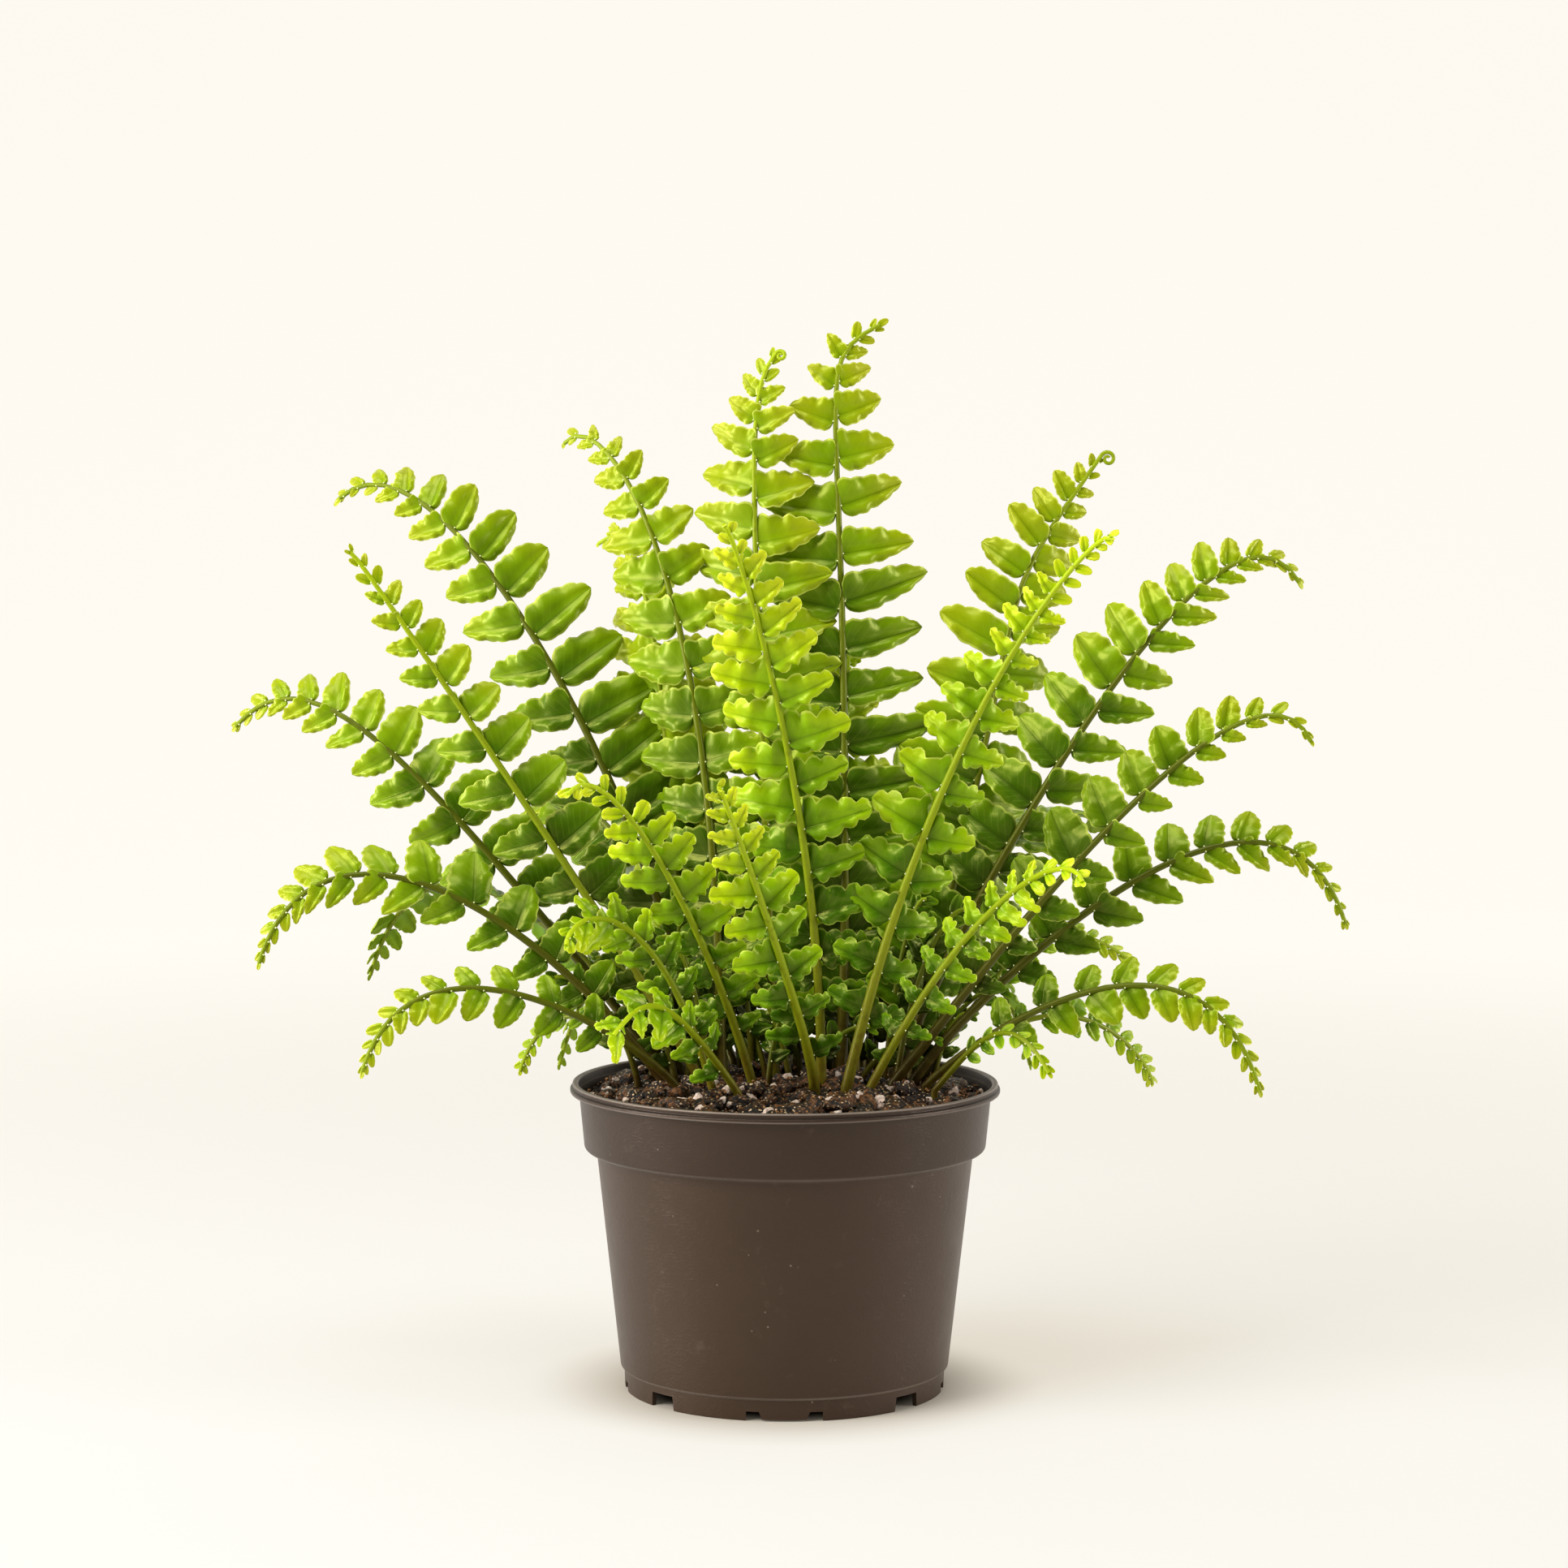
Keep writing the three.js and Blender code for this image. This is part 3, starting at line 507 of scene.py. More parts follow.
def edgeOf(points, ear, lobes, depth, power, draw):
    base = leafletMesh["baseColumns"]
    steps = lobes * leafletMesh["columnsPerLobe"]
    at = [ear * i / base for i in range(base)] + [ear + (1 - ear) * i / steps for i in range(steps + 1)]
    edge = rounded(points, at)
    grow = np.gradient(edge, axis=0)
    out = np.stack([-grow[:, 1], grow[:, 0]], 1)
    out /= np.linalg.norm(out, axis=1)[:, None] + 1e-9
    if edge[len(edge) // 2, 1] < 0:
        out = -out
    size = [draw.uniform(*leafletMesh["lobeSpread"]) for _ in range(lobes + 1)]
    for i in range(steps + 1):
        share = i / steps
        lobe = abs(math.sin(math.pi * lobes * share)) ** power
        fade = min(1, (1 - share) * 5) * min(1, 0.4 + share * 6)
        edge[base + i] += out[base + i] * depth * (lobe - 0.45) * size[int(share * lobes)] * fade
    return edge


def makeLeaflet(name, form, hand, draw):
    # hand is 1 for a leaflet on the right of the stem and -1 for its mirror on the left
    upper = edgeOf(form["upper"], leafletMesh["upperEar"], form["lobes"], form["lobeDepth"],
                   form["lobePower"], draw)
    lower = edgeOf(form["lower"], leafletMesh["lowerEar"], form["lobes"], form["lowerDepth"],
                   form["lobePower"], draw)
    columns = len(upper)
    rows = leafletMesh["rowsPerHalf"]
    base = leafletMesh["baseColumns"]
    middle = np.zeros((columns, 2))
    middle[:, 0] = np.clip((upper[:, 0] + lower[:, 0]) / 2 - 0.02, 0, 1)
    middle[:base, 0] = np.linspace(0, 0.03, base)
    middle[-1] = (1, 0)
    upper[-1] = lower[-1] = (1, 0)
    phases = [draw.uniform(0, 2 * math.pi) for _ in range(4)]
    waves = form["waves"] * draw.uniform(0.85, 1.15)
    fold = form["fold"] * draw.uniform(0.6, 1.3)
    droop = form["droop"] * draw.uniform(0.4, 1.5)
    sweep = form["sweep"] * draw.uniform(0.2, 1.5)
    twist = draw.uniform(-0.25, 0.25)
    points, spread = [], []
    for i in range(columns):
        for k in range(-rows, rows + 1):
            share = k / rows
            edge = upper[i] if k >= 0 else lower[i]
            x, y = middle[i] + (edge - middle[i]) * abs(share)
            phase = phases[0] if k >= 0 else phases[1]
            body = math.sin(math.pi * min(1, max(0, 0.12 + 0.8 * x)))
            ripple = math.sin(2 * math.pi * waves * x + phase)
            ripple += 0.25 * math.sin(4.6 * math.pi * waves * x + phases[2])
            z = fold * abs(y) * (1 - 0.35 * x)
            z += form["pillow"] * math.sin(math.pi * abs(share)) * body * (0.8 if k < 0 else 0.5)
            z += form["waveHeight"] * abs(share) ** 1.6 * ripple * body
            z -= form["curl"] * abs(share) ** 3 * (1 - 0.5 * x) * (1 if k < 0 else 0.4)
            z -= droop * x * x
            z += twist * x * y
            y += sweep * x * x
            points.append((x, hand * y, z))
            spread.append((middle[i, 0] * 0.5 + x * 0.5, 0.5 + 0.5 * hand * share))
    across = 2 * rows + 1
    top = len(points)
    points += [(x, y, z - leafletMesh["thickness"]) for x, y, z in points]
    faces = []
    at = lambda i, k: i * across + k
    tip = at(columns - 1, rows)
    for i in range(columns - 1):
        for k in range(across - 1):
            a, b, c, d = at(i, k), at(i + 1, k), at(i + 1, k + 1), at(i, k + 1)
            face = [a, b, c, d] if i < columns - 2 else [a, tip, d]
            faces.append(face)
            faces.append([v + top for v in reversed(face)])
    rim = [at(i, 0) for i in range(columns - 1)] + [tip]
    rim += [at(i, across - 1) for i in range(columns - 2, -1, -1)]
    rim += [at(0, k) for k in range(across - 2, 0, -1)]
    sides = list(zip(rim, rim[1:] + rim[:1]))
    faces += [[b, a, a + top, b + top] for a, b in sides]
    if hand < 0:
        faces = [list(reversed(face)) for face in faces]
    mesh = meshOf(name, points, faces)
    layer = mesh.uv_layers.new(name="leafUv")
    under = mesh.attributes.new("under", "FLOAT", "POINT")
    under.data.foreach_set("value", [0.0] * top + [1.0] * top)
    for loop in mesh.loops:
        layer.data[loop.index].uv = spread[loop.vertex_index % top]
    smoothMesh(mesh)
    onRim = {frozenset((a + lift, b + lift)) for a, b in sides for lift in (0, top)}
    sharp = mesh.attributes.new("sharp_edge", "BOOLEAN", "EDGE")
    sharp.data.foreach_set("value", [frozenset(edge.vertices) in onRim for edge in mesh.edges])
    bm = bmesh.new()
    bm.from_mesh(mesh)
    loose = [v for v in bm.verts if not v.link_faces]
    bmesh.ops.delete(bm, geom=loose, context="VERTS")
    bm.to_mesh(mesh)
    bm.free()
    return mesh


leafletStore = newStore("leaflets")
leafletNumbers = {}
draw = random.Random(leafletMesh["seed"])
for formName, form in leafletForms.items():
    for hand in (1, -1):
        for _ in range(form["variants"]):
            number = len(leafletStore.objects)
            name = f"leaflet_{number:03d}"
            leaflet = addObject(name, makeLeaflet(name, form, hand, draw), leafletStore)
            leafletNumbers.setdefault((formName, hand), []).append(number)


# The tree that grows a frond: a tube along the stem's line, leaflets and joint dots on its points

def frondTree():
    tree, nodes, inputs = geometryTree("growFrond", [
        ("Leaflets", "Collection", None),
        ("Leaf finish", "Material", None),
        ("Stem finish", "Material", None),
        ("Dot finish", "Material", None),
        ("Stem sides", "Int", 10),
        ("Dot radius", "Float", 0.0003),
        ("Turn spread", "Float", 0.1),
        ("Size spread", "Float", 0.08),
        ("Seed", "Int", 1),
    ])
    parts = nodes.add("GeometryNodeSeparateGeometry", {"domain": "POINT"},
                      {0: inputs, 1: nodes.named("leafPoint", "BOOLEAN")})
    joints = parts.out(0)
    line = nodes.add("GeometryNodeMeshToCurve", None, {0: parts.out(1)})
    ring = nodes.add("GeometryNodeCurvePrimitiveCircle", {"mode": "RADIUS"},
                     {"Resolution": inputs.out("Stem sides"), "Radius": 1.0})
    tube = nodes.add("GeometryNodeCurveToMesh", None,
                     {"Curve": line, "Profile Curve": ring, "Scale": nodes.named("radius", "FLOAT"),
                      "Fill Caps": True})
    tube = nodes.finished(tube, inputs.out("Stem finish"))
    jitter = nodes.randomly("FLOAT_VECTOR", (-1, -1, -1), (1, 1, 1), inputs.out("Seed"))
    jitter = nodes.scaled(jitter, inputs.out("Turn spread"))
    turn = nodes.add("FunctionNodeEulerToRotation", None, {0: nodes.named("turn", "FLOAT_VECTOR")})
    swing = nodes.add("FunctionNodeEulerToRotation", None, {0: jitter})
    turn = nodes.add("FunctionNodeRotateRotation", {"rotation_space": "LOCAL"}, {0: turn, 1: swing})
    grow = nodes.randomly("FLOAT", -1.0, 1.0, inputs.out("Seed") + 7)
    size = nodes.scaled(nodes.named("size", "FLOAT_VECTOR"), grow * inputs.out("Size spread") + 1)
    shapes = nodes.shapesIn(inputs.out("Leaflets"))
    leaves = nodes.repeated({"Points": joints, "Instance": shapes, "Pick Instance": True,
                             "Instance Index": nodes.named("kind", "INT"), "Rotation": turn, "Scale": size},
                            inputs.out("Leaf finish"))
    dot = nodes.add("GeometryNodeMeshIcoSphere", None,
                    {"Radius": inputs.out("Dot radius"), "Subdivisions": 1})
    dotPlaces = nodes.add("GeometryNodeSetPosition", None,
                          {"Geometry": joints, "Offset": nodes.named("dotOffset", "FLOAT_VECTOR")})
    dots = nodes.repeated({"Points": dotPlaces, "Instance": dot}, inputs.out("Dot finish"))
    join = nodes.add("GeometryNodeJoinGeometry")
    for part in (dots, leaves, tube):
        tree.links.new(part.socket, join.node.inputs[0])
    nodes.add("NodeGroupOutput", None, {0: join})
    return tree


growFrond = frondTree()


# Fronds, in kinds that share how their leaflets grow. Along a frond d is the distance from its
# tip: a leaflet is "bud" + "grow" * d long until it nears "leaf", and the next one on its side follows
# after pitch[0] + pitch[1] * d, at most pitch[2]. "fill" is a leaflet's share of that room, "anchors"
# are the d of one leaflet on the left side and one on the right, "sides" and "width" those sides'
# shares of the length and of the room. "forms" and "ages" run from the base to the tip, ages by the
# power "rise". "fingers" is the d below which leaflets are plain lobes, "slantReach" the d over which
# they lean towards the tip, and "curl" the hand and the radius of a tip that is still rolled up.

frondKinds = {
    "tall": {"grow": 0.4, "pitch": (4.5, 0.24, 13.2), "forms": ("pointed", "pointed"), "ages": (0.2, 0.86),
             "stemAge": 0.15, "fill": 0.87, "rise": 1.4},
    "upright": {"grow": 0.34, "pitch": (5, 0.15, 13), "forms": ("pointed", "pointed"),
                "ages": (0.16, 0.84), "stemAge": 0.2, "fill": 0.92, "rise": 1.2},
    "arching": {"grow": 0.28, "pitch": (4, 0.16, 15), "forms": ("round", "round"), "ages": (0.15, 0.84),
                "stemAge": 0, "lowerSlant": 8, "rise": 1.35},
    "low": {"grow": 0.15, "pitch": (3.4, 0.14, 13), "forms": ("round", "round"), "ages": (0.32, 0.86),
            "stemAge": 0.1, "rise": 1},
    "small": {"grow": 0.19, "pitch": (2.9, 0.12, 9), "forms": ("round", "round"), "ages": (0.34, 0.82),
              "stemAge": 0.3, "bud": 3.3, "fresh": 0.4},
    "young": {"grow": 0.32, "pitch": (6, 0.11, 12.5), "forms": ("lobed", "lobed"), "ages": (0.24, 0.96),
              "stemAge": 0.8, "fill": 0.88, "bud": 3, "rise": 1.2, "fresh": 1},
    "light": {"grow": 0.32, "pitch": (5.5, 0.12, 13), "forms": ("lobed", "lobed"), "ages": (0.62, 0.92),
              "stemAge": 0.7, "fill": 0.9, "bud": 3, "fresh": 0.5},
    "rear": {"grow": 0.34, "pitch": (4.2, 0.18, 13.5), "forms": ("pointed", "round"), "ages": (0.08, 0.8),
             "stemAge": 0.15, "seen": False},
}
frondKinds["rearRound"] = {**frondKinds["rear"], "forms": ("round", "round")}
frondKinds["rearLow"] = {**frondKinds["rearRound"], "grow": 0.26}
frondBasics = {"anchors": (41, 35), "sides": (1, 1), "width": (1, 1), "lowerSide": 0, "lowerSlant": 0,
               "seen": True, "bud": 2.2, "fill": 0.91, "fingers": 0, "curl": None, "rise": 1.6, "fresh": 0,
               "slantReach": None}


def frondRow(kind, root, knee, crest, tip, stem, facing, leaf, bare, **changes):
    # The root is [x, y], the knee and the crest bend the line in [x, z] and the tip is [x, y, z]. The
    # stem is a radius, the leaflets face an azimuth and an elevation, and the stem's start is bare.
    return {**frondBasics, **frondKinds[kind], "root": root, "knee": knee, "crest": crest, "tip": tip,
            "stem": stem, "facing": facing, "leaf": leaf, "bare": bare, **changes}


fronds = {
    "young_front": frondRow(
        "young", (8, -17), (8, 102), (-19, 179), (-17, -88, 174), 1.6, (-82, 5), 14.5, 9, anchors=(55, 49)),
    "young_tall": frondRow(
        "young", (10, -6), (10, 168), (-15, 243), (-16, -76, 241), 1.55, (-98, 5), 19.5, 14,
        anchors=(58, 52), ages=(0.14, 1.0), bud=3.6, grow=0.3, fingers=12),
    "young_right": frondRow(
        "young", (17, -12), (41, 195), (82, 242), (84, -68, 238), 1.65, (-82, 15), 18, 14,
        bud=2.4, grow=0.17, pitch=(3.2, 0.125, 13.5), anchors=(97, 99), sides=(1, 0.9),
        forms=("ivy", "ivy"), ages=(0.24, 0.9), slantReach=15, fill=0.95, fingers=12),
    "young_left": frondRow(
        "young", (-9, -7), (-21, 132), (-47, 185), (-56, -80, 172), 1.4, (-102, 15), 14, 16,
        anchors=(34, 39), pitch=(4, 0.15, 10.5), fingers=24),
    "young_short_right": frondRow(
        "young", (23, -18), (53, 148), (75, 158), (76, -84, 150), 1.35, (-98, 25), 12, 12,
        grow=0.17, bud=3.4, anchors=(44, 34), pitch=(3.8, 0.12, 11.5), forms=("ivy", "ivy"),
        ages=(0.24, 0.84), slantReach=22, fingers=16),
    "young_low_left": frondRow(
        "young", (-13, -22), (-32, 116), (-36, 121), (-44, -91, 111), 1.2, (-85, 25), 13, 6,
        pitch=(6, 0.12, 11.5), ages=(0.24, 0.68), forms=("ivy", "lobed"), bud=7.5, grow=0.2,
        fill=1.4, slantReach=28),
    "young_small_left": frondRow(
        "young", (-20, -16), (-36, 145), (-57, 141), (-57, -72, 132), 1.2, (-85, 15), 13, 8,
        pitch=(6, 0.12, 11.5), ages=(0.22, 0.7), forms=("ivy", "lobed"), bud=6, grow=0.25,
        fingers=7, fill=1.35, slantReach=26),
    "tall_right": frondRow(
        "tall", (16, 14), (20, 286), (3, 285), (26, 24, 297), 1.7, (-84, 8), 27, 14, anchors=(57, 55)),
    "tall_left": frondRow(
        "tall", (-3, 12), (-9, 254), (-13, 277), (-3, 20, 289), 1.6, (-104, 8), 23, 14,
        anchors=(28, 22), pitch=(4.6, 0.19, 13), ages=(0.42, 0.8), stemAge=0.5, curl=(1, 1.5)),
    "upright_left": frondRow(
        "upright", (-18, 8), (-19, 240), (-55, 276), (-64, 46, 264), 1.6, (-108, 20), 18, 14,
        anchors=(53, 53)),
    "upright_right": frondRow(
        "upright", (34, 14), (74, 241), (54, 210), (90, 36, 261), 1.6, (-72, 20), 23, 14,
        fill=0.84, grow=0.42, anchors=(39, 35), pitch=(4.6, 0.14, 12.5), sides=(1, 0.75),
        forms=("round", "round"), ages=(0.28, 0.85), curl=(1, 2.1)),
    "arching_left_high": frondRow(
        "arching", (-23, 12), (-36, 161), (-100, 275), (-130, 56, 248), 1.7, (-102, 30), 25, 26,
        grow=0.35, anchors=(70, 60), pitch=(4.6, 0.16, 14.2), sides=(0.85, 1), lowerSide=-1,
        width=(0.85, 0.92)),
    "arching_right_high": frondRow(
        "arching", (31, 6), (34, 102), (119, 268), (145, 24, 225), 1.7, (-78, 28), 20.5, 26,
        grow=0.29, anchors=(58, 54), pitch=(4.5, 0.12, 13.2), sides=(1, 0.95), lowerSide=1,
        lowerSlant=18, width=(0.98, 0.85)),
    "arching_left_middle": frondRow(
        "arching", (-24, 1), (-30, 102), (-125, 243), (-120, -6, 233), 1.6, (-104, 28), 18, 28,
        grow=0.24, anchors=(67, 57), pitch=(5, 0.14, 16), lowerSide=-1, width=(0.9, 0.98), stemAge=0.5),
    "arching_right_middle": frondRow(
        "arching", (30, -4), (43, 102), (125, 219), (142, -26, 183), 1.6, (-78, 28), 17.5, 32,
        grow=0.25, anchors=(56, 58), pitch=(4.6, 0.14, 14), sides=(1, 0.76), lowerSide=1,
        lowerSlant=18, width=(0.98, 0.76)),
    "arching_left_wide": frondRow(
        "arching", (-32, 7), (-101, 172), (-134, 209), (-157, 30, 183), 1.6, (-102, 28), 18.5, 32,
        anchors=(64, 52), pitch=(4.4, 0.15, 15), grow=0.29, lowerSide=-1, width=(0.85, 0.95)),
    "arching_right_wide": frondRow(
        "arching", (36, 0), (45, 103), (136, 195), (156.5, 4, 130), 1.6, (-80, 28), 18.5, 34,
        grow=0.21, anchors=(51, 51), pitch=(5, 0.11, 13.5), sides=(0.9, 1), lowerSide=1,
        lowerSlant=20, width=(0.98, 0.85), ages=(0.22, 0.84), rise=1.15),
    "arching_left_low": frondRow(
        "arching", (-34, -2), (-73, 140), (-130, 168), (-144, -20, 121), 1.5, (-104, 28), 19, 30,
        grow=0.24, anchors=(57, 48), pitch=(3.4, 0.16, 14), slantReach=44, sides=(0.9, 1),
        lowerSide=-1, width=(0.85, 1), ages=(0.24, 0.84), rise=1.1),
    "hanging_left": frondRow(
        "low", (-30, -11), (-47, 106), (-101, 137), (-113, -46, 95), 1.3, (-106, 30), 14, 22,
        grow=0.19, anchors=(43, 41.5), pitch=(3.2, 0.165, 12.5)),
    "hanging_right": frondRow(
        "low", (39, -9), (54, 103), (113, 143), (128, -36, 89), 1.3, (-76, 30), 14, 24,
        grow=0.18, anchors=(44, 42), pitch=(3.8, 0.12, 13), slantReach=48),
    "small_left": frondRow(
        "small", (-34, 16), (-52, 106), (-70, 105), (-77, 44, 82), 1, (-90, 35), 8, 18),
    "small_right": frondRow(
        "small", (43, 6), (81, 123), (105, 87), (106, 36, 80), 1, (-90, 35), 9, 22),
    "short_right": frondRow(
        "small", (41, -18), (53, 102), (60, 114), (70, -52, 96), 1, (-90, 35), 7.5, 14),
    "drooping_right": frondRow(
        "small", (38, 20), (58, 101), (68, 138), (100, 56, 114), 1.1, (-90, 35), 10, 20, grow=0.2),
    "light_behind_left": frondRow(
        "light", (-27, 20), (-36, 239), (-45, 242), (-55, 64, 235), 1.6, (-118, 15), 18, 20),
    "light_behind_right": frondRow(
        "light", (20, 25), (13, 214), (20, 211), (20, 52, 213), 1.5, (-72, 10), 19, 20),
    "back_upright": frondRow(
        "rear", (3, 26), (4, 175), (12, 215), (16, 88, 190), 1.7, (70, 35), 19, 18),
    "back_left_upright": frondRow(
        "rear", (-9, 30), (-12, 165), (-26, 208), (-36, 90, 168), 1.7, (158, 30), 18, 18,
        anchors=(36, 42)),
    "back_left_arching": frondRow(
        "rearRound", (-19, 28), (-34, 140), (-66, 185), (-84, 86, 142), 1.7, (150, 40), 18, 18),
    "back_left_wide": frondRow(
        "rearRound", (-30, 25), (-60, 122), (-106, 165), (-124, 76, 106), 1.5, (125, 55), 15, 24,
        anchors=(38, 41)),
    "back_right_upright": frondRow(
        "rear", (13, 32), (20, 155), (44, 195), (54, 89, 158), 1.7, (22, 30), 18, 18),
    "back_right_arching": frondRow(
        "rearRound", (29, 28), (44, 140), (84, 180), (104, 80, 140), 1.7, (30, 40), 18, 20,
        anchors=(36, 41)),
    "back_low": frondRow(
        "rearLow", (-3, 38), (-4, 118), (-8, 145), (-10, 93, 76), 1.4, (80, 55), 13, 18),
    "back_left_low": frondRow(
        "rearLow", (-15, 38), (-26, 112), (-54, 132), (-68, 84, 78), 1.4, (140, 50), 13, 18),
    "back_right_low": frondRow(
        "rearLow", (22, 38), (32, 114), (60, 134), (74, 86, 78), 1.4, (40, 50), 13, 18),
}

# What all fronds share, in millimetres and degrees. The knee's and the crest's depth are shares of
# the way to the tip, "curlTurn" is in half turns, and "joint" and "dot" are shares of the stem's
# radius. "baseSize" is the least share of a leaflet's size near the root, the share that it gains
# and over what distance. "narrow" is its least width by length and the gain a millimetre, "finger"
# the length, its gain and the width of a plain lobe, and "endLeaf" the leaflet at the very tip.
frondBuild = {
    "soilDepth": 75, "pathStart": 86, "kneeDepth": 0.2, "crestDepth": 0.75, "stemRings": 44,
    "tipRadius": 0.62, "taper": 0.7, "rootSwell": 1.12, "curlTurn": 2.6, "curlRings": 22,
    "slant": 9, "tipSlant": 58, "slantSpread": 4, "mostSlant": 70, "slantReach": 7.5,
    "raise": -4, "lowerRaise": -10, "raiseSpread": 8, "rollSpread": 12,
    "eye": Vector((0, -1, 0.22)).normalized(), "eyeShare": 0.55, "eyeDistance": 1057.5,
    "sizeSpread": (0.94, 1.05), "baseSize": (0.62, 0.38, 50), "shortened": (0.72, 1.15),
    "roomSlant": 0.9, "roomSpread": (0.98, 1.08), "widest": 0.78, "lowerWidest": 0.66,
    "narrow": (0.42, 0.03), "formSpread": 9, "budBelow": 5.6, "finger": (3.6, 0.1, 0.62),
    "leastHeight": 3.5, "ageSpread": 0.06, "joint": (0.7, 0.25), "dot": (0.25, 0.75),
    "endLeaf": (2.2, 0.13, 1.2), "dotRadius": 0.28, "turnSpread": 0.05,
    "matureSlot": "mature_leaf", "youngSlot": "young_leaf",
    "matureNodes": ("tall_right", "tall_left", "upright_left", "upright_right", "arching_left_high",
                    "arching_right_high", "arching_left_middle", "back_upright"),
}


def softLimit(value, limit):
    share = value / limit
    return value / (1 + share ** 3) ** (1 / 3)


def leafletPlaces(anchor, pitch, first, last):
    # distances from the tip, outward and inward from the anchor
    start, grow, most = pitch
    step = lambda d: min(most, start + grow * d)
    places = [anchor]
    while places[0] > first:
        d = places[0]
        before = d - most if d - most > (most - start) / grow else (d - start) / (1 + grow)
        places.insert(0, before)
    while places[-1] + step(places[-1]) < last:
        places.append(places[-1] + step(places[-1]))
    return [(d, step(d)) for d in places if first < d < last]


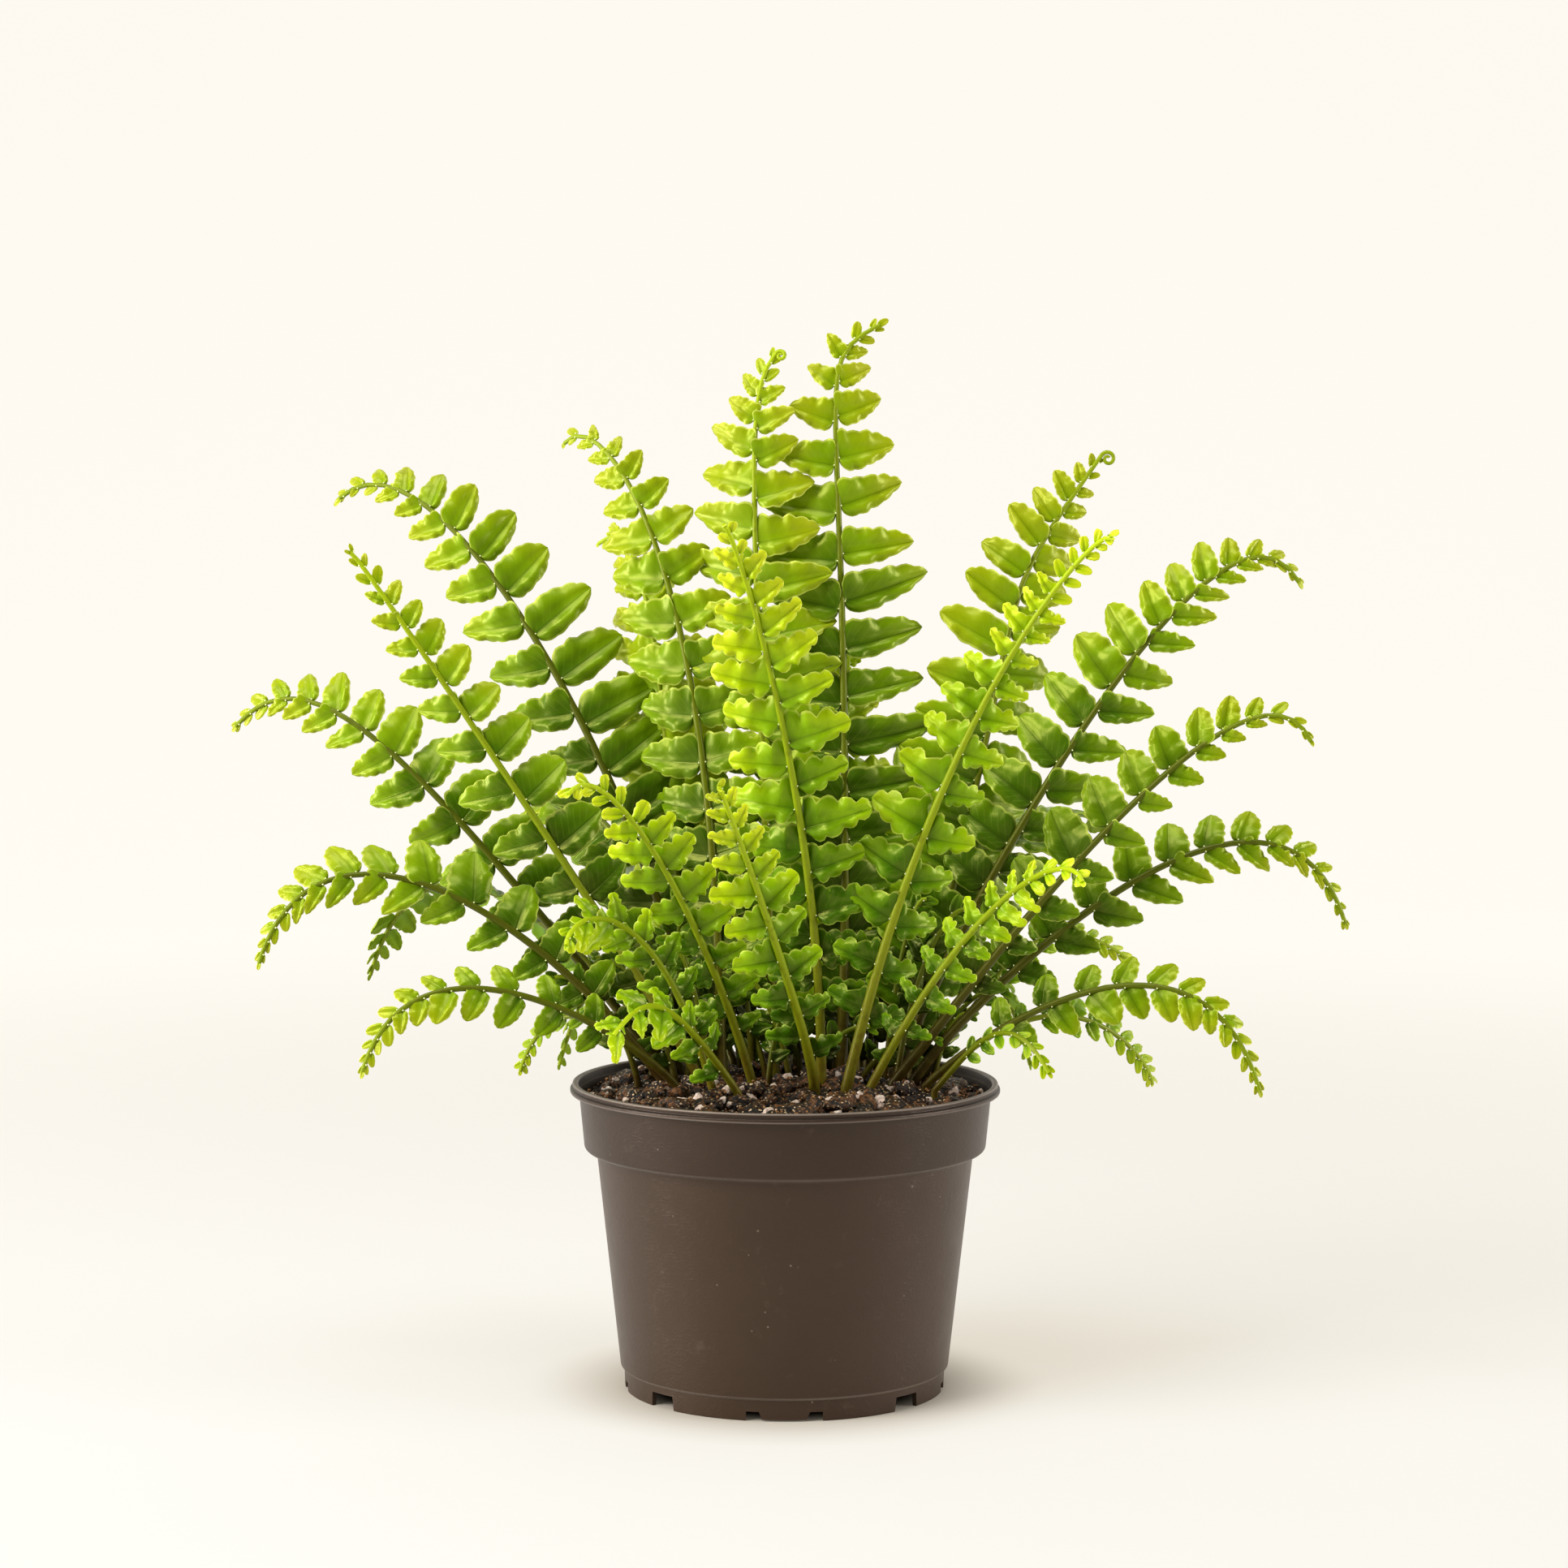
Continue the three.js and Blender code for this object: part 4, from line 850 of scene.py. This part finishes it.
def growPoints(row, number):
    # the stem's line and the leaflets' places, turns, sizes and ages for one frond
    draw = random.Random(number)
    build = frondBuild
    rootX, rootY = row["root"]
    tip = Vector(row["tip"])
    depth = lambda share: rootY + share * (tip.y - rootY)
    ends = [Vector((rootX, rootY, build["pathStart"])),
            Vector((row["knee"][0], depth(build["kneeDepth"]), row["knee"][1])),
            Vector((row["crest"][0], depth(build["crestDepth"]), row["crest"][1])), tip]
    curve = np.array([ends[0] * (1 - t) ** 3 + ends[1] * 3 * (1 - t) ** 2 * t
                      + ends[2] * 3 * (1 - t) * t * t + ends[3] * t ** 3 for t in np.linspace(0, 1, 241)])
    steps = np.diff(curve, axis=0)
    run = np.concatenate([[0], np.cumsum(np.linalg.norm(steps, axis=1))])
    length = run[-1]
    # the distance from the tip, as seen from the front for the fronds that face that way
    near = build["eyeDistance"] / (build["eyeDistance"] + curve[1:, 1])
    seen = np.hypot(steps[:, 0], steps[:, 2]) * near if row["seen"] else np.linalg.norm(steps, axis=1)
    fromTip = np.concatenate([[0], np.cumsum(seen[::-1])])
    whole = fromTip[-1]
    leafy = whole - row["bare"]
    azimuth, elevation = map(math.radians, row["facing"])
    face = Vector((math.cos(elevation) * math.cos(azimuth), math.cos(elevation) * math.sin(azimuth),
                   math.sin(elevation)))

    def placeAt(distance):
        return Vector([np.interp(distance, run, curve[:, axis]) for axis in range(3)])

    def section(distance):
        ahead = min(length, distance + 0.8)
        along = (placeAt(ahead) - placeAt(ahead - 1.6)).normalized()
        up = (face - along * face.dot(along)).normalized()
        return placeAt(distance), along, up, along.cross(up)

    def radiusAt(distance):
        share = min(1, max(0, distance / length)) ** build["taper"]
        return row["stem"] + (build["tipRadius"] - row["stem"]) * share

    grown = {"line": [], "radius": [], "share": [], "place": [], "turn": [], "size": [], "kind": [],
             "age": [], "dotOffset": [], "stemAge": row["stemAge"], "fresh": row["fresh"]}

    def addRing(place, radius, share):
        grown["line"].append(place)
        grown["radius"].append(radius)
        grown["share"].append(share)

    def addLeaf(kind, turn, size, age, place, dotOffset):
        grown["kind"].append(kind)
        grown["turn"].append(turn.to_euler("XYZ"))
        grown["size"].append([value * mm for value in size])
        grown["age"].append(age)
        grown["place"].append(place)
        grown["dotOffset"].append(dotOffset * mm)

    for height in (build["soilDepth"], build["pathStart"] - 4):
        addRing(Vector((rootX, rootY, height)), row["stem"] * build["rootSwell"], 0)
    for distance in np.linspace(0, length, build["stemRings"]):
        addRing(placeAt(distance), radiusAt(distance), distance / length)
    if row["curl"]:
        place, along, up, right = section(length)
        hand, reach = row["curl"]
        for k in range(1, build["curlRings"] + 1):
            share = k / build["curlRings"]
            a = build["curlTurn"] * math.pi * share
            spoke = along * math.sin(a) - right * hand * math.cos(a)
            addRing(place + right * hand * reach + spoke * reach * (1 - 0.76 * share),
                    build["tipRadius"] * (1 - 0.3 * share), 1)
    for side, anchor, sideShare, widthShare in zip((-1, 1), row["anchors"], row["sides"], row["width"]):
        lower = side == row["lowerSide"]
        for d, pitch in leafletPlaces(anchor, row["pitch"], 0.8, leafy):
            distance = length - np.interp(d, fromTip, length - run[::-1])
            place, along, up, right = section(distance)
            slope = math.exp(-d / (row["slantReach"] or build["slantReach"] / row["grow"]))
            slant = build["slant"] + build["tipSlant"] * slope
            slant += draw.uniform(-build["slantSpread"], build["slantSpread"])
            if lower:
                slant = min(build["mostSlant"], slant + row["lowerSlant"])
            slant = math.radians(slant)
            raised = build["lowerRaise"] if lower else build["raise"]
            lift = math.radians(raised + draw.uniform(-1, 1) * build["raiseSpread"])
            roll = math.radians(draw.uniform(-1, 1) * build["rollSpread"])
            outward = right * side * math.cos(lift) + up * math.sin(lift)
            outward = (outward * math.cos(slant) + along * math.sin(slant)).normalized()
            across = (along * side - outward * along.dot(outward) * side).normalized()
            normal = outward.cross(across)
            if row["seen"]:
                normal = normal.lerp(build["eye"], build["eyeShare"])
            normal = (normal - outward * normal.dot(outward)).normalized()
            turn = Matrix((outward, normal.cross(outward), normal)).transposed()
            size = softLimit(row["bud"] + row["grow"] * d, row["leaf"]) * sideShare
            size *= draw.uniform(*build["sizeSpread"])
            least, gain, reach = build["baseSize"]
            size *= min(1, least + gain * (leafy - d) / reach)
            if row["seen"]:
                least, most = build["shortened"]
                size /= min(most, max(least, math.hypot(outward.x, outward.z)))
            room = pitch * row["fill"] * widthShare * math.cos(slant * build["roomSlant"])
            least, gain = build["narrow"]
            wide = min(build["lowerWidest" if lower else "widest"], least + gain * size)
            width = min(room * draw.uniform(*build["roomSpread"]), size * wide)
            change = 0.5 * whole + draw.uniform(-build["formSpread"], build["formSpread"])
            form = row["forms"][1 if d < change else 0]
            if lower and form == "round":
                form = "pointed"
            if size < build["budBelow"]:
                form = "bud"
            if d < row["fingers"]:
                form = "finger"
                least, gain, wide = build["finger"]
                size = min(size, least + gain * d)
                width = size * wide
            kind = draw.choice(leafletNumbers[(form, side)])
            q = max(0, 1 - d / leafy) ** row["rise"]
            age = row["ages"][0] + (row["ages"][1] - row["ages"][0]) * q
            age += draw.uniform(-build["ageSpread"], build["ageSpread"])
            out, down = build["joint"]
            joint = place + (right * side * out - up * down) * radiusAt(distance)
            out, above = build["dot"]
            addLeaf(kind, turn @ Matrix.Rotation(roll, 3, "X"),
                    (size, width / leafletForms[form]["width"], max(size, build["leastHeight"])), age, joint,
                    (right * side * out + up * above) * radiusAt(distance))
    if not row["curl"]:
        place, along, up, right = section(length)
        least, share, wide = build["endLeaf"]
        end = max(least, row["leaf"] * share)
        addLeaf(draw.choice(leafletNumbers[("bud", 1)]), Matrix((along, up.cross(along), up)).transposed(),
                (end, end * wide, end), row["ages"][1], place - along * 0.4, up * 0.1)
    return grown


pointLayers = {"leafPoint": "BOOLEAN", "radius": "FLOAT", "share": "FLOAT", "age": "FLOAT", "fresh": "FLOAT",
               "kind": "INT", "turn": "FLOAT_VECTOR", "size": "FLOAT_VECTOR", "dotOffset": "FLOAT_VECTOR"}


def leafyPiece(name, stems):
    points, edges, table = [], [], []
    for grown in stems:
        first = len(points)
        points += grown["line"]
        edges += [(i, i + 1) for i in range(first, len(points) - 1)]
        blank = (0, (0, 0, 0), (0, 0, 0), (0, 0, 0))
        table += [(False, radius * mm, share, grown["stemAge"], 0, *blank)
                  for radius, share in zip(grown["radius"], grown["share"])]
        points += grown["place"]
        table += [(True, 0, 0, age, grown["fresh"], kind, tuple(turn), size, tuple(offset))
                  for age, kind, turn, size, offset
                  in zip(grown["age"], grown["kind"], grown["turn"], grown["size"], grown["dotOffset"])]
    mesh = meshOf(name, [point * mm for point in points], [], edges)
    for (label, kind), values in zip(pointLayers.items(), zip(*table)):
        attribute = mesh.attributes.new(label, kind, "POINT")
        field = "vector" if kind == "FLOAT_VECTOR" else "value"
        attribute.data.foreach_set(field, np.array(values).ravel() if field == "vector" else values)
    piece = addObject(name, mesh)
    runTree(piece, growFrond, Leaflets=leafletStore, Leaf_finish=leafGreen, Stem_finish=stemOlive,
            Dot_finish=jointDot, Dot_radius=frondBuild["dotRadius"] * mm,
            Turn_spread=frondBuild["turnSpread"], Seed=len(points))
    plain(piece, [label for label in pointLayers if label not in ("share", "age", "fresh")])
    smoothMesh(piece.data)
    return piece


def triangles(piece):
    return sum(len(polygon.vertices) - 2 for polygon in piece.data.polygons)


leafletCount = faceCount = 0
for number, (name, row) in enumerate(fronds.items(), start=1):
    grown = growPoints(row, number)
    piece = leafyPiece(name + "_frond", [grown])
    mature = name in frondBuild["matureNodes"]
    settle(piece, frondBuild["matureSlot" if mature else "youngSlot"], "frond_" + name)
    leafletCount += len(grown["kind"])
    faceCount += triangles(piece)
print("fronds made:", len(fronds), "with", leafletCount, "leaflets and", faceCount, "triangles")


# Low growth: short shoots that fill the crown between the stems, close above the soil

lowGrowth = {"count": 34, "reachX": 42, "reachY": (-4, 40), "height": (12, 56), "lean": 18,
             "leaf": (11, 15), "stem": 1.0, "ages": (0.0, 0.3), "crown": 46, "seed": 4, "numbers": 300}


def lowShoots(settings):
    draw = random.Random(settings["seed"])
    shoots = []
    for number in range(settings["count"]):
        share = (number + draw.uniform(0.1, 0.9)) / settings["count"]
        x = (share * 2 - 1) * settings["reachX"]
        room = math.sqrt(max(0, 1 - (x / settings["crown"]) ** 2))
        y = draw.uniform(*settings["reachY"]) * room
        height = frondBuild["pathStart"] + draw.uniform(*settings["height"])
        tipX = x * 1.25 + draw.uniform(-1, 1) * settings["lean"]
        tipY = y + draw.uniform(-0.6, 1) * settings["lean"] * 0.6
        row = frondRow("small", (x, y), (x + (tipX - x) * 0.2, height * 0.6 + 36),
                       (tipX - (tipX - x) * 0.3, height + 2), (tipX, tipY, height), settings["stem"],
                       (-90 + draw.uniform(-50, 50), 15), draw.uniform(*settings["leaf"]), 3,
                       grow=0.4, pitch=(7, 0.1, 11), ages=settings["ages"], seen=False, stemAge=0.1,
                       forms=("inner", "inner"), anchors=(12, 8), bud=4, fresh=0.5)
        shoots.append(growPoints(row, settings["numbers"] + number))
    return shoots


piece = leafyPiece("low_growth", lowShoots(lowGrowth))
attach(piece, "root")
print("low growth made:", triangles(piece), "triangles")


# Pot: a turned profile with rounded corners, its foot notched and its floor drilled.
# Corners are [radius, height, fillet], from the base's underside round to the inside.

potSizes = {
    "sides": 144, "sharpAngle": 38,
    "outside": [(43.3, 3.2, 0), (43.3, 0, 0.2), (44.7, 0, 0.4), (44.9, 5.9, 0.3), (45.9, 6.4, 0.5),
                (52.6, 66.6, 0.8), (56, 67.6, 1.0), (57.5, 83.0, 0.5), (60, 83.2, 0.65), (60, 84.5, 0.65),
                (59.2, 84.6, 0.25), (59.5, 86, 0.8), (57.8, 86, 0.7), (54.6, 68.6, 1.5), (51.1, 66.4, 1.5),
                (44.6, 4.7, 1.0)],
    "notchDepth": (-50, -38),
    "wideNotch": {"half": 10.4, "height": 2.6, "tab": 6.6, "clearance": 0.5},
    "narrowNotch": {"half": 4.7, "top": 4.2, "height": 4, "angle": 48.3},
    "drain": {"radius": 5, "from": 30, "count": 4, "middle": 4, "depth": 6},
}


def filleted(corners, steps=4):
    line = []
    for i, (r, z, fillet) in enumerate(corners):
        here = Vector((r, z))
        if fillet == 0 or i in (0, len(corners) - 1):
            line.append(here)
            continue
        back = Vector(corners[i - 1][:2]) - here
        ahead = Vector(corners[i + 1][:2]) - here
        reach = min(fillet, back.length * 0.45, ahead.length * 0.45)
        start, end = here + back.normalized() * reach, here + ahead.normalized() * reach
        for k in range(steps + 1):
            t = k / steps
            line.append(start * (1 - t) ** 2 + here * 2 * t * (1 - t) + end * t * t)
    return line


def turnedPiece(name, line, sides):
    # the line runs from the axis below to the axis above, and the ends close on the axis
    points, faces = [], []
    for r, z in line:
        for k in range(sides):
            a = 2 * math.pi * k / sides
            points.append((r * math.cos(a) * mm, r * math.sin(a) * mm, z * mm))
    for i in range(len(line) - 1):
        for k in range(sides):
            n = (k + 1) % sides
            faces.append([i * sides + k, i * sides + n, (i + 1) * sides + n, (i + 1) * sides + k])
    for ring, z, flip in ((0, line[0][1], True), (len(line) - 1, line[-1][1], False)):
        centre = len(points)
        points.append((0, 0, z * mm))
        for k in range(sides):
            face = [ring * sides + k, ring * sides + (k + 1) % sides, centre]
            faces.append(face[::-1] if flip else face)
    return addObject(name, meshOf(name, points, faces))


def addPrism(bm, outline, angle):
    # a prism through the foot ring, its outline in [sideways, height] as seen from outside
    turn = Matrix.Rotation(math.radians(angle), 4, "Z")
    near, far = [[bm.verts.new(turn @ Vector((x * mm, y * mm, z * mm))) for x, z in outline]
                 for y in potSizes["notchDepth"]]
    for i in range(len(outline)):
        n = (i + 1) % len(outline)
        bm.faces.new([near[i], near[n], far[n], far[i]])
    bm.faces.new(near[::-1])
    bm.faces.new(far)


def makePot(sizes):
    pot = turnedPiece("nursery_pot", filleted(sizes["outside"]), sizes["sides"])
    bm = bmesh.new()
    wide, narrow, drain = sizes["wideNotch"], sizes["narrowNotch"], sizes["drain"]
    half, height, tab, clearance = wide["half"], wide["height"], wide["tab"], wide["clearance"]
    for angle in (0, 90, 180, 270):
        addPrism(bm, [(-half, -1), (half, -1), (half, height), (tab + 0.3, height), (tab - 0.6, clearance),
                      (-tab + 0.6, clearance), (-tab - 0.3, height), (-half, height)], angle)
    for angle in (narrow["angle"], -narrow["angle"], 180 + narrow["angle"], 180 - narrow["angle"]):
        addPrism(bm, [(-narrow["half"], -1), (narrow["half"], -1), (narrow["top"], narrow["height"]),
                      (-narrow["top"], narrow["height"])], angle)
    for i in range(drain["count"]):
        a = 2 * math.pi * (i + 0.5) / drain["count"]
        place = Vector((drain["from"] * math.cos(a), drain["from"] * math.sin(a), drain["middle"])) * mm
        bmesh.ops.create_cone(bm, cap_ends=True, segments=24, radius1=drain["radius"] * mm,
                              radius2=drain["radius"] * mm, depth=drain["depth"] * mm,
                              matrix=Matrix.Translation(place))
    bmesh.ops.recalc_face_normals(bm, faces=bm.faces)
    cutterMesh = bpy.data.meshes.new("potCutters")
    bm.to_mesh(cutterMesh)
    bm.free()
    cutters = addObject("potCutters", cutterMesh)
    cut = pot.modifiers.new("notches", "BOOLEAN")
    cut.operation = "DIFFERENCE"
    cut.solver = "EXACT"
    cut.object = cutters
    plain(pot)
    bpy.data.objects.remove(cutters)
    pot.data.materials.clear()
    pot.data.materials.append(potPlastic)
    smoothMesh(pot.data)
    pot.data.set_sharp_from_angle(angle=math.radians(sizes["sharpAngle"]))
    settle(pot, "pot_plastic", "pot")
    print("pot made:", len(pot.data.polygons), "faces")


makePot(potSizes)


# Soil: a lumpy bed of peat with bark bits and perlite scattered over it

soilSizes = {
    "radius": 55.0, "edgeHeight": 81.6, "mound": 1.8, "lump": 1.3, "rings": 40, "sides": 120,
    "below": [(44.0, 5.0), (50.6, 66.4), (54.0, 69.2)], "crumbReach": 0.6, "sharpAngle": 50,
}


def soilHeight(x, y):
    # the mound, with broad, middle and fine waves that fade at the pot's wall
    sizes = soilSizes
    share = math.hypot(x, y) / sizes["radius"]
    lumps = math.sin(0.31 * x + 1.1) * math.cos(0.27 * y) + math.sin(0.17 * (x - y))
    lumps += 1.1 * math.sin(0.62 * x + 0.35 * y) * math.sin(0.55 * y - 0.3 * x + 1)
    lumps += 0.35 * math.sin(1.7 * x + 2.0 * math.sin(0.9 * y)) * math.cos(1.9 * y)
    edge = 1 - share ** 8
    return sizes["edgeHeight"] + sizes["mound"] * (1 - share * share) + sizes["lump"] * lumps * edge


def makeSoil(sizes):
    rings = sizes["rings"]
    line = sizes["below"] + [(sizes["radius"] * (1 - i / rings), sizes["edgeHeight"]) for i in range(rings)]
    soil = turnedPiece("potting_mix", line, sizes["sides"])
    for vertex in soil.data.vertices:
        x, y, z = vertex.co / mm
        if z > sizes["edgeHeight"] - 0.1:
            vertex.co.z = soilHeight(x, y) * mm
    soil.data.materials.append(crumbs["peatBrown"])
    smoothMesh(soil.data)
    return soil


crumbForms = {
    "bark": {"count": 6, "size": (1, 0.62, 0.46), "rough": 0.34, "cutFrom": 0.34, "detail": 2},
    "perlite": {"count": 6, "size": (1, 0.84, 0.7), "rough": 0.3, "cutFrom": 0.3, "detail": 2},
    "grain": {"count": 3, "size": (1, 0.86, 0.78), "rough": 0.2, "cutFrom": 0.4, "detail": 1},
}


def makeCrumbs(label, form):
    # small balls, lumpy and cut flat on a few sides
    store = newStore(label)
    draw = random.Random(len(label))
    for i in range(form["count"]):
        mesh = bpy.data.meshes.new(f"{label}_{i}")
        bm = bmesh.new()
        bmesh.ops.create_icosphere(bm, subdivisions=form["detail"], radius=0.5)
        cuts = [Vector([draw.gauss(0, 1) for _ in range(3)]).normalized() for _ in range(7)]
        for vertex in bm.verts:
            lump = sum(math.sin(5 * vertex.co.dot(cut) * 2 + 3 * k) for k, cut in enumerate(cuts)) / 4
            vertex.co *= 1 + form["rough"] * lump
            for cut in cuts[:5]:
                over = vertex.co.dot(cut) - form["cutFrom"]
                if over > 0:
                    vertex.co -= cut * over * 0.85
            vertex.co = Vector([value * size for value, size in zip(vertex.co, form["size"])])
        bm.to_mesh(mesh)
        bm.free()
        addObject(f"{label}_{i}", mesh, store)
    return store


def scatterTree():
    tree, nodes, inputs = geometryTree("scatterCrumbs", [
        ("Crumbs", "Collection", None),
        ("Finish", "Material", None),
        ("Per square metre", "Float", 100000.0),
        ("Smallest", "Float", 0.002),
        ("Largest", "Float", 0.005),
        ("Sink", "Float", 0.0005),
        ("Lowest", "Float", 0.07),
        ("Seed", "Int", 1),
    ])
    seed = inputs.out("Seed")
    normal = nodes.axis(nodes.add("GeometryNodeInputNormal"), "Z")
    place = nodes.axis(nodes.add("GeometryNodeInputPosition"), "Z")
    upward = normal.math("GREATER_THAN", normal, 0.3)
    upward = upward * place.math("GREATER_THAN", place, inputs.out("Lowest"))
    spots = nodes.add("GeometryNodeDistributePointsOnFaces", {"distribute_method": "RANDOM"},
                      {"Mesh": inputs, "Selection": upward, "Density": inputs.out("Per square metre"),
                       "Seed": seed}, "Points")
    depth = nodes.add("ShaderNodeCombineXYZ", None, {2: inputs.out("Sink") * -1})
    spots = nodes.add("GeometryNodeSetPosition", None, {"Geometry": spots, "Offset": depth})
    shapes = nodes.shapesIn(inputs.out("Crumbs"))
    turn = nodes.randomly("FLOAT_VECTOR", (-0.5, -0.5, 0), (0.5, 0.5, 6.28), seed + 1)
    size = nodes.randomly("FLOAT", inputs.out("Smallest"), inputs.out("Largest"), seed + 2)
    pick = nodes.randomly("INT", 0, 20, seed + 3)
    pieces = nodes.repeated({"Points": spots, "Instance": shapes, "Pick Instance": True,
                             "Instance Index": pick, "Rotation": turn, "Scale": size},
                            inputs.out("Finish"))
    nodes.add("NodeGroupOutput", None, {0: pieces})
    return tree


scatterCrumbs = scatterTree()
crumbLayers = {
    "fine_bark": {"form": "bark", "finish": "peatBrown", "density": 70000.0, "smallest": 0.002,
                  "largest": 0.005, "sink": 0.0001, "seed": 3},
    "bark_bits": {"form": "bark", "finish": "barkBrown", "density": 52000.0, "smallest": 0.0045,
                  "largest": 0.0105, "sink": -0.0006, "seed": 5},
    "tan_grains": {"form": "grain", "finish": "tanGrain", "density": 110000.0, "smallest": 0.0005,
                   "largest": 0.0014, "sink": -0.0018, "seed": 6},
    "perlite_grains": {"form": "perlite", "finish": "perliteWhite", "density": 16000.0,
                       "smallest": 0.0014, "largest": 0.0048, "sink": -0.0012, "seed": 12},
}


def scatter(name, soil, layer, store):
    piece = addObject(name, soil.data.copy())
    runTree(piece, scatterCrumbs, Crumbs=store, Finish=crumbs[layer["finish"]],
            Per_square_metre=layer["density"], Smallest=layer["smallest"], Largest=layer["largest"],
            Sink=layer["sink"], Seed=layer["seed"])
    plain(piece)
    mesh = piece.data
    bm = bmesh.new()
    bm.from_mesh(mesh)
    # a crumb that reaches into the pot's wall is taken out whole
    reach = (soilSizes["radius"] + soilSizes["crumbReach"]) * mm
    wholes = set()
    for vertex in bm.verts:
        if vertex in wholes or math.hypot(vertex.co.x, vertex.co.y) <= reach:
            continue
        whole, todo = {vertex}, [vertex]
        while todo:
            for edge in todo.pop().link_edges:
                for other in edge.verts:
                    if other not in whole:
                        whole.add(other)
                        todo.append(other)
        wholes |= whole
    bmesh.ops.delete(bm, geom=list(wholes), context="VERTS")
    bm.to_mesh(mesh)
    bm.free()
    smoothMesh(mesh)
    mesh.set_sharp_from_angle(angle=math.radians(soilSizes["sharpAngle"]))
    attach(piece, "root")
    print("soil layer", name, "made:", len(mesh.polygons), "faces")


soil = makeSoil(soilSizes)
settle(soil, "potting_mix", "soil")
crumbStores = {label: makeCrumbs(label, form) for label, form in crumbForms.items()}
for name, layer in crumbLayers.items():
    scatter(name, soil, layer, crumbStores[layer["form"]])

for store in [leafletStore, *crumbStores.values()]:
    for item in list(store.objects):
        bpy.data.objects.remove(item)
    bpy.data.collections.remove(store)


# Studio: camera, a paper sweep that glows away from the pot, soft light from the upper left.
# Everything here is in metres, except the camera's place. Glow and paper are colours of light.

studio = {
    "cameraPlace": (-0.55, -1057.5, 245.8), "pitch": 4.15, "roll": 0.15, "lens": 87.62,
    "worldColour": srgb(255, 250, 240), "world": 0.19, "pale": 0.965,
    "glowFrom": (0.3, 1.2), "clearFrom": (0.035, 0.075),
    "paperUnder": (0.5, 0.45, 0.38, 1), "glowUnder": (0, 0, 0, 1),
    "paperNear": (0.22, 0.25, 0.29, 1), "glowNear": (0.63, 0.557, 0.44, 1),
    "paperFar": (0.1, 0.1, 0.1, 1), "glowFar": (0.93, 0.89, 0.82, 1),
    "sweep": {"front": -4.0, "back": 1.2, "bend": 1.6, "top": 6.0, "side": 5, "steps": 24},
}
lights = {
    "keyLight": {"place": (-1.0, -0.75, 1.0), "target": (0, 0, 0.15), "size": 0.7, "power": 19,
                 "colour": (1, 0.985, 0.95)},
    "topLight": {"place": (-0.1, -0.2, 1.5), "target": (0, 0, 0.1), "size": 0.9, "power": 13},
    "sideLight": {"place": (-1.25, -0.25, 0.2), "target": (0, 0, 0.08), "size": 0.55, "power": 16},
    "fillLight": {"place": (1.3, -0.2, 0.3), "target": (0, 0, 0.1), "size": 0.7, "power": 14},
}


def makeCamera(settings):
    camera = addObject("camera", bpy.data.cameras.new("camera"))
    camera.data.lens = settings["lens"]
    camera.data.sensor_width = 36
    camera.data.clip_end = 30
    turn = Matrix.Rotation(math.radians(90 - settings["pitch"]), 4, "X")
    turn = turn @ Matrix.Rotation(math.radians(settings["roll"]), 4, "Z")
    camera.matrix_world = Matrix.Translation(Vector(settings["cameraPlace"]) * mm) @ turn
    bpy.context.scene.camera = camera


def makeLight(name, row):
    light = addObject(name, bpy.data.lights.new(name, "AREA"))
    light.data.shape = "SQUARE"
    light.data.size = row["size"]
    light.data.energy = row["power"]
    light.data.color = row.get("colour", (1, 1, 1))
    light.location = row["place"]
    light.rotation_mode = "QUATERNION"
    light.rotation_quaternion = (Vector(row["target"]) - Vector(row["place"])).to_track_quat("-Z", "Y")


def sweepMaterial(settings):
    material, nodes = newMaterial("sweepPaper")
    place = nodes.place()
    x = nodes.axis(place, "X")
    y = x.out("Y")
    fromPot = (x * x + y * y) ** 0.5
    far = fromPot.step(*settings["glowFrom"])
    # the glow fades to nothing under the pot and close round its foot, so the floor darkens there: painted
    # contact shade
    clear = fromPot.step(*settings["clearFrom"])
    paper, glow = [nodes.mix(clear, settings[kind + "Under"],
                             nodes.mix(far, settings[kind + "Near"], settings[kind + "Far"]))
                   for kind in ("paper", "glow")]
    nodes.surface({"Base Color": paper, "Emission Color": glow},
                  {"Roughness": 0.9, "Specular IOR Level": 0.0, "Emission Strength": 1.0})
    return material


def makeSweep(settings):
    sizes = settings["sweep"]
    back, bend, steps = sizes["back"], sizes["bend"], sizes["steps"]
    line = [(sizes["front"], 0.0), (back, 0.0)]
    for k in range(1, steps + 1):
        a = math.pi / 2 * k / steps
        line.append((back + bend * math.sin(a), bend - bend * math.cos(a)))
    line.append((back + bend, sizes["top"]))
    points = [(x, y, z) for y, z in line for x in (-sizes["side"], sizes["side"])]
    faces = [[2 * i, 2 * i + 1, 2 * i + 3, 2 * i + 2] for i in range(len(line) - 1)]
    sweep = addObject("sweep", meshOf("sweep", points, faces))
    smoothMesh(sweep.data)
    sweep.data.materials.append(sweepMaterial(settings))


def makeWorld(settings):
    # the backdrop is pale where the camera looks past the sweep, and doesn't light the plant
    world = bpy.data.worlds.new("studio")
    bpy.context.scene.world = world
    world.use_nodes = True
    world.node_tree.nodes.clear()
    nodes = Nodes(world.node_tree)
    lighting, backdrop = [nodes.add("ShaderNodeBackground", None,
                                    {0: settings["worldColour"], 1: settings[name]})
                          for name in ("world", "pale")]
    direct = nodes.add("ShaderNodeLightPath", None, None, "Is Camera Ray")
    both = nodes.add("ShaderNodeMixShader", None, {0: direct, 1: lighting, 2: backdrop})
    nodes.add("ShaderNodeOutputWorld", None, {0: both})


makeCamera(studio)
makeSweep(studio)
makeWorld(studio)
for name, row in lights.items():
    makeLight(name, row)
bpy.context.scene.view_settings.view_transform = "Standard"
bpy.context.scene.cycles.max_bounces = 5
print("studio made")
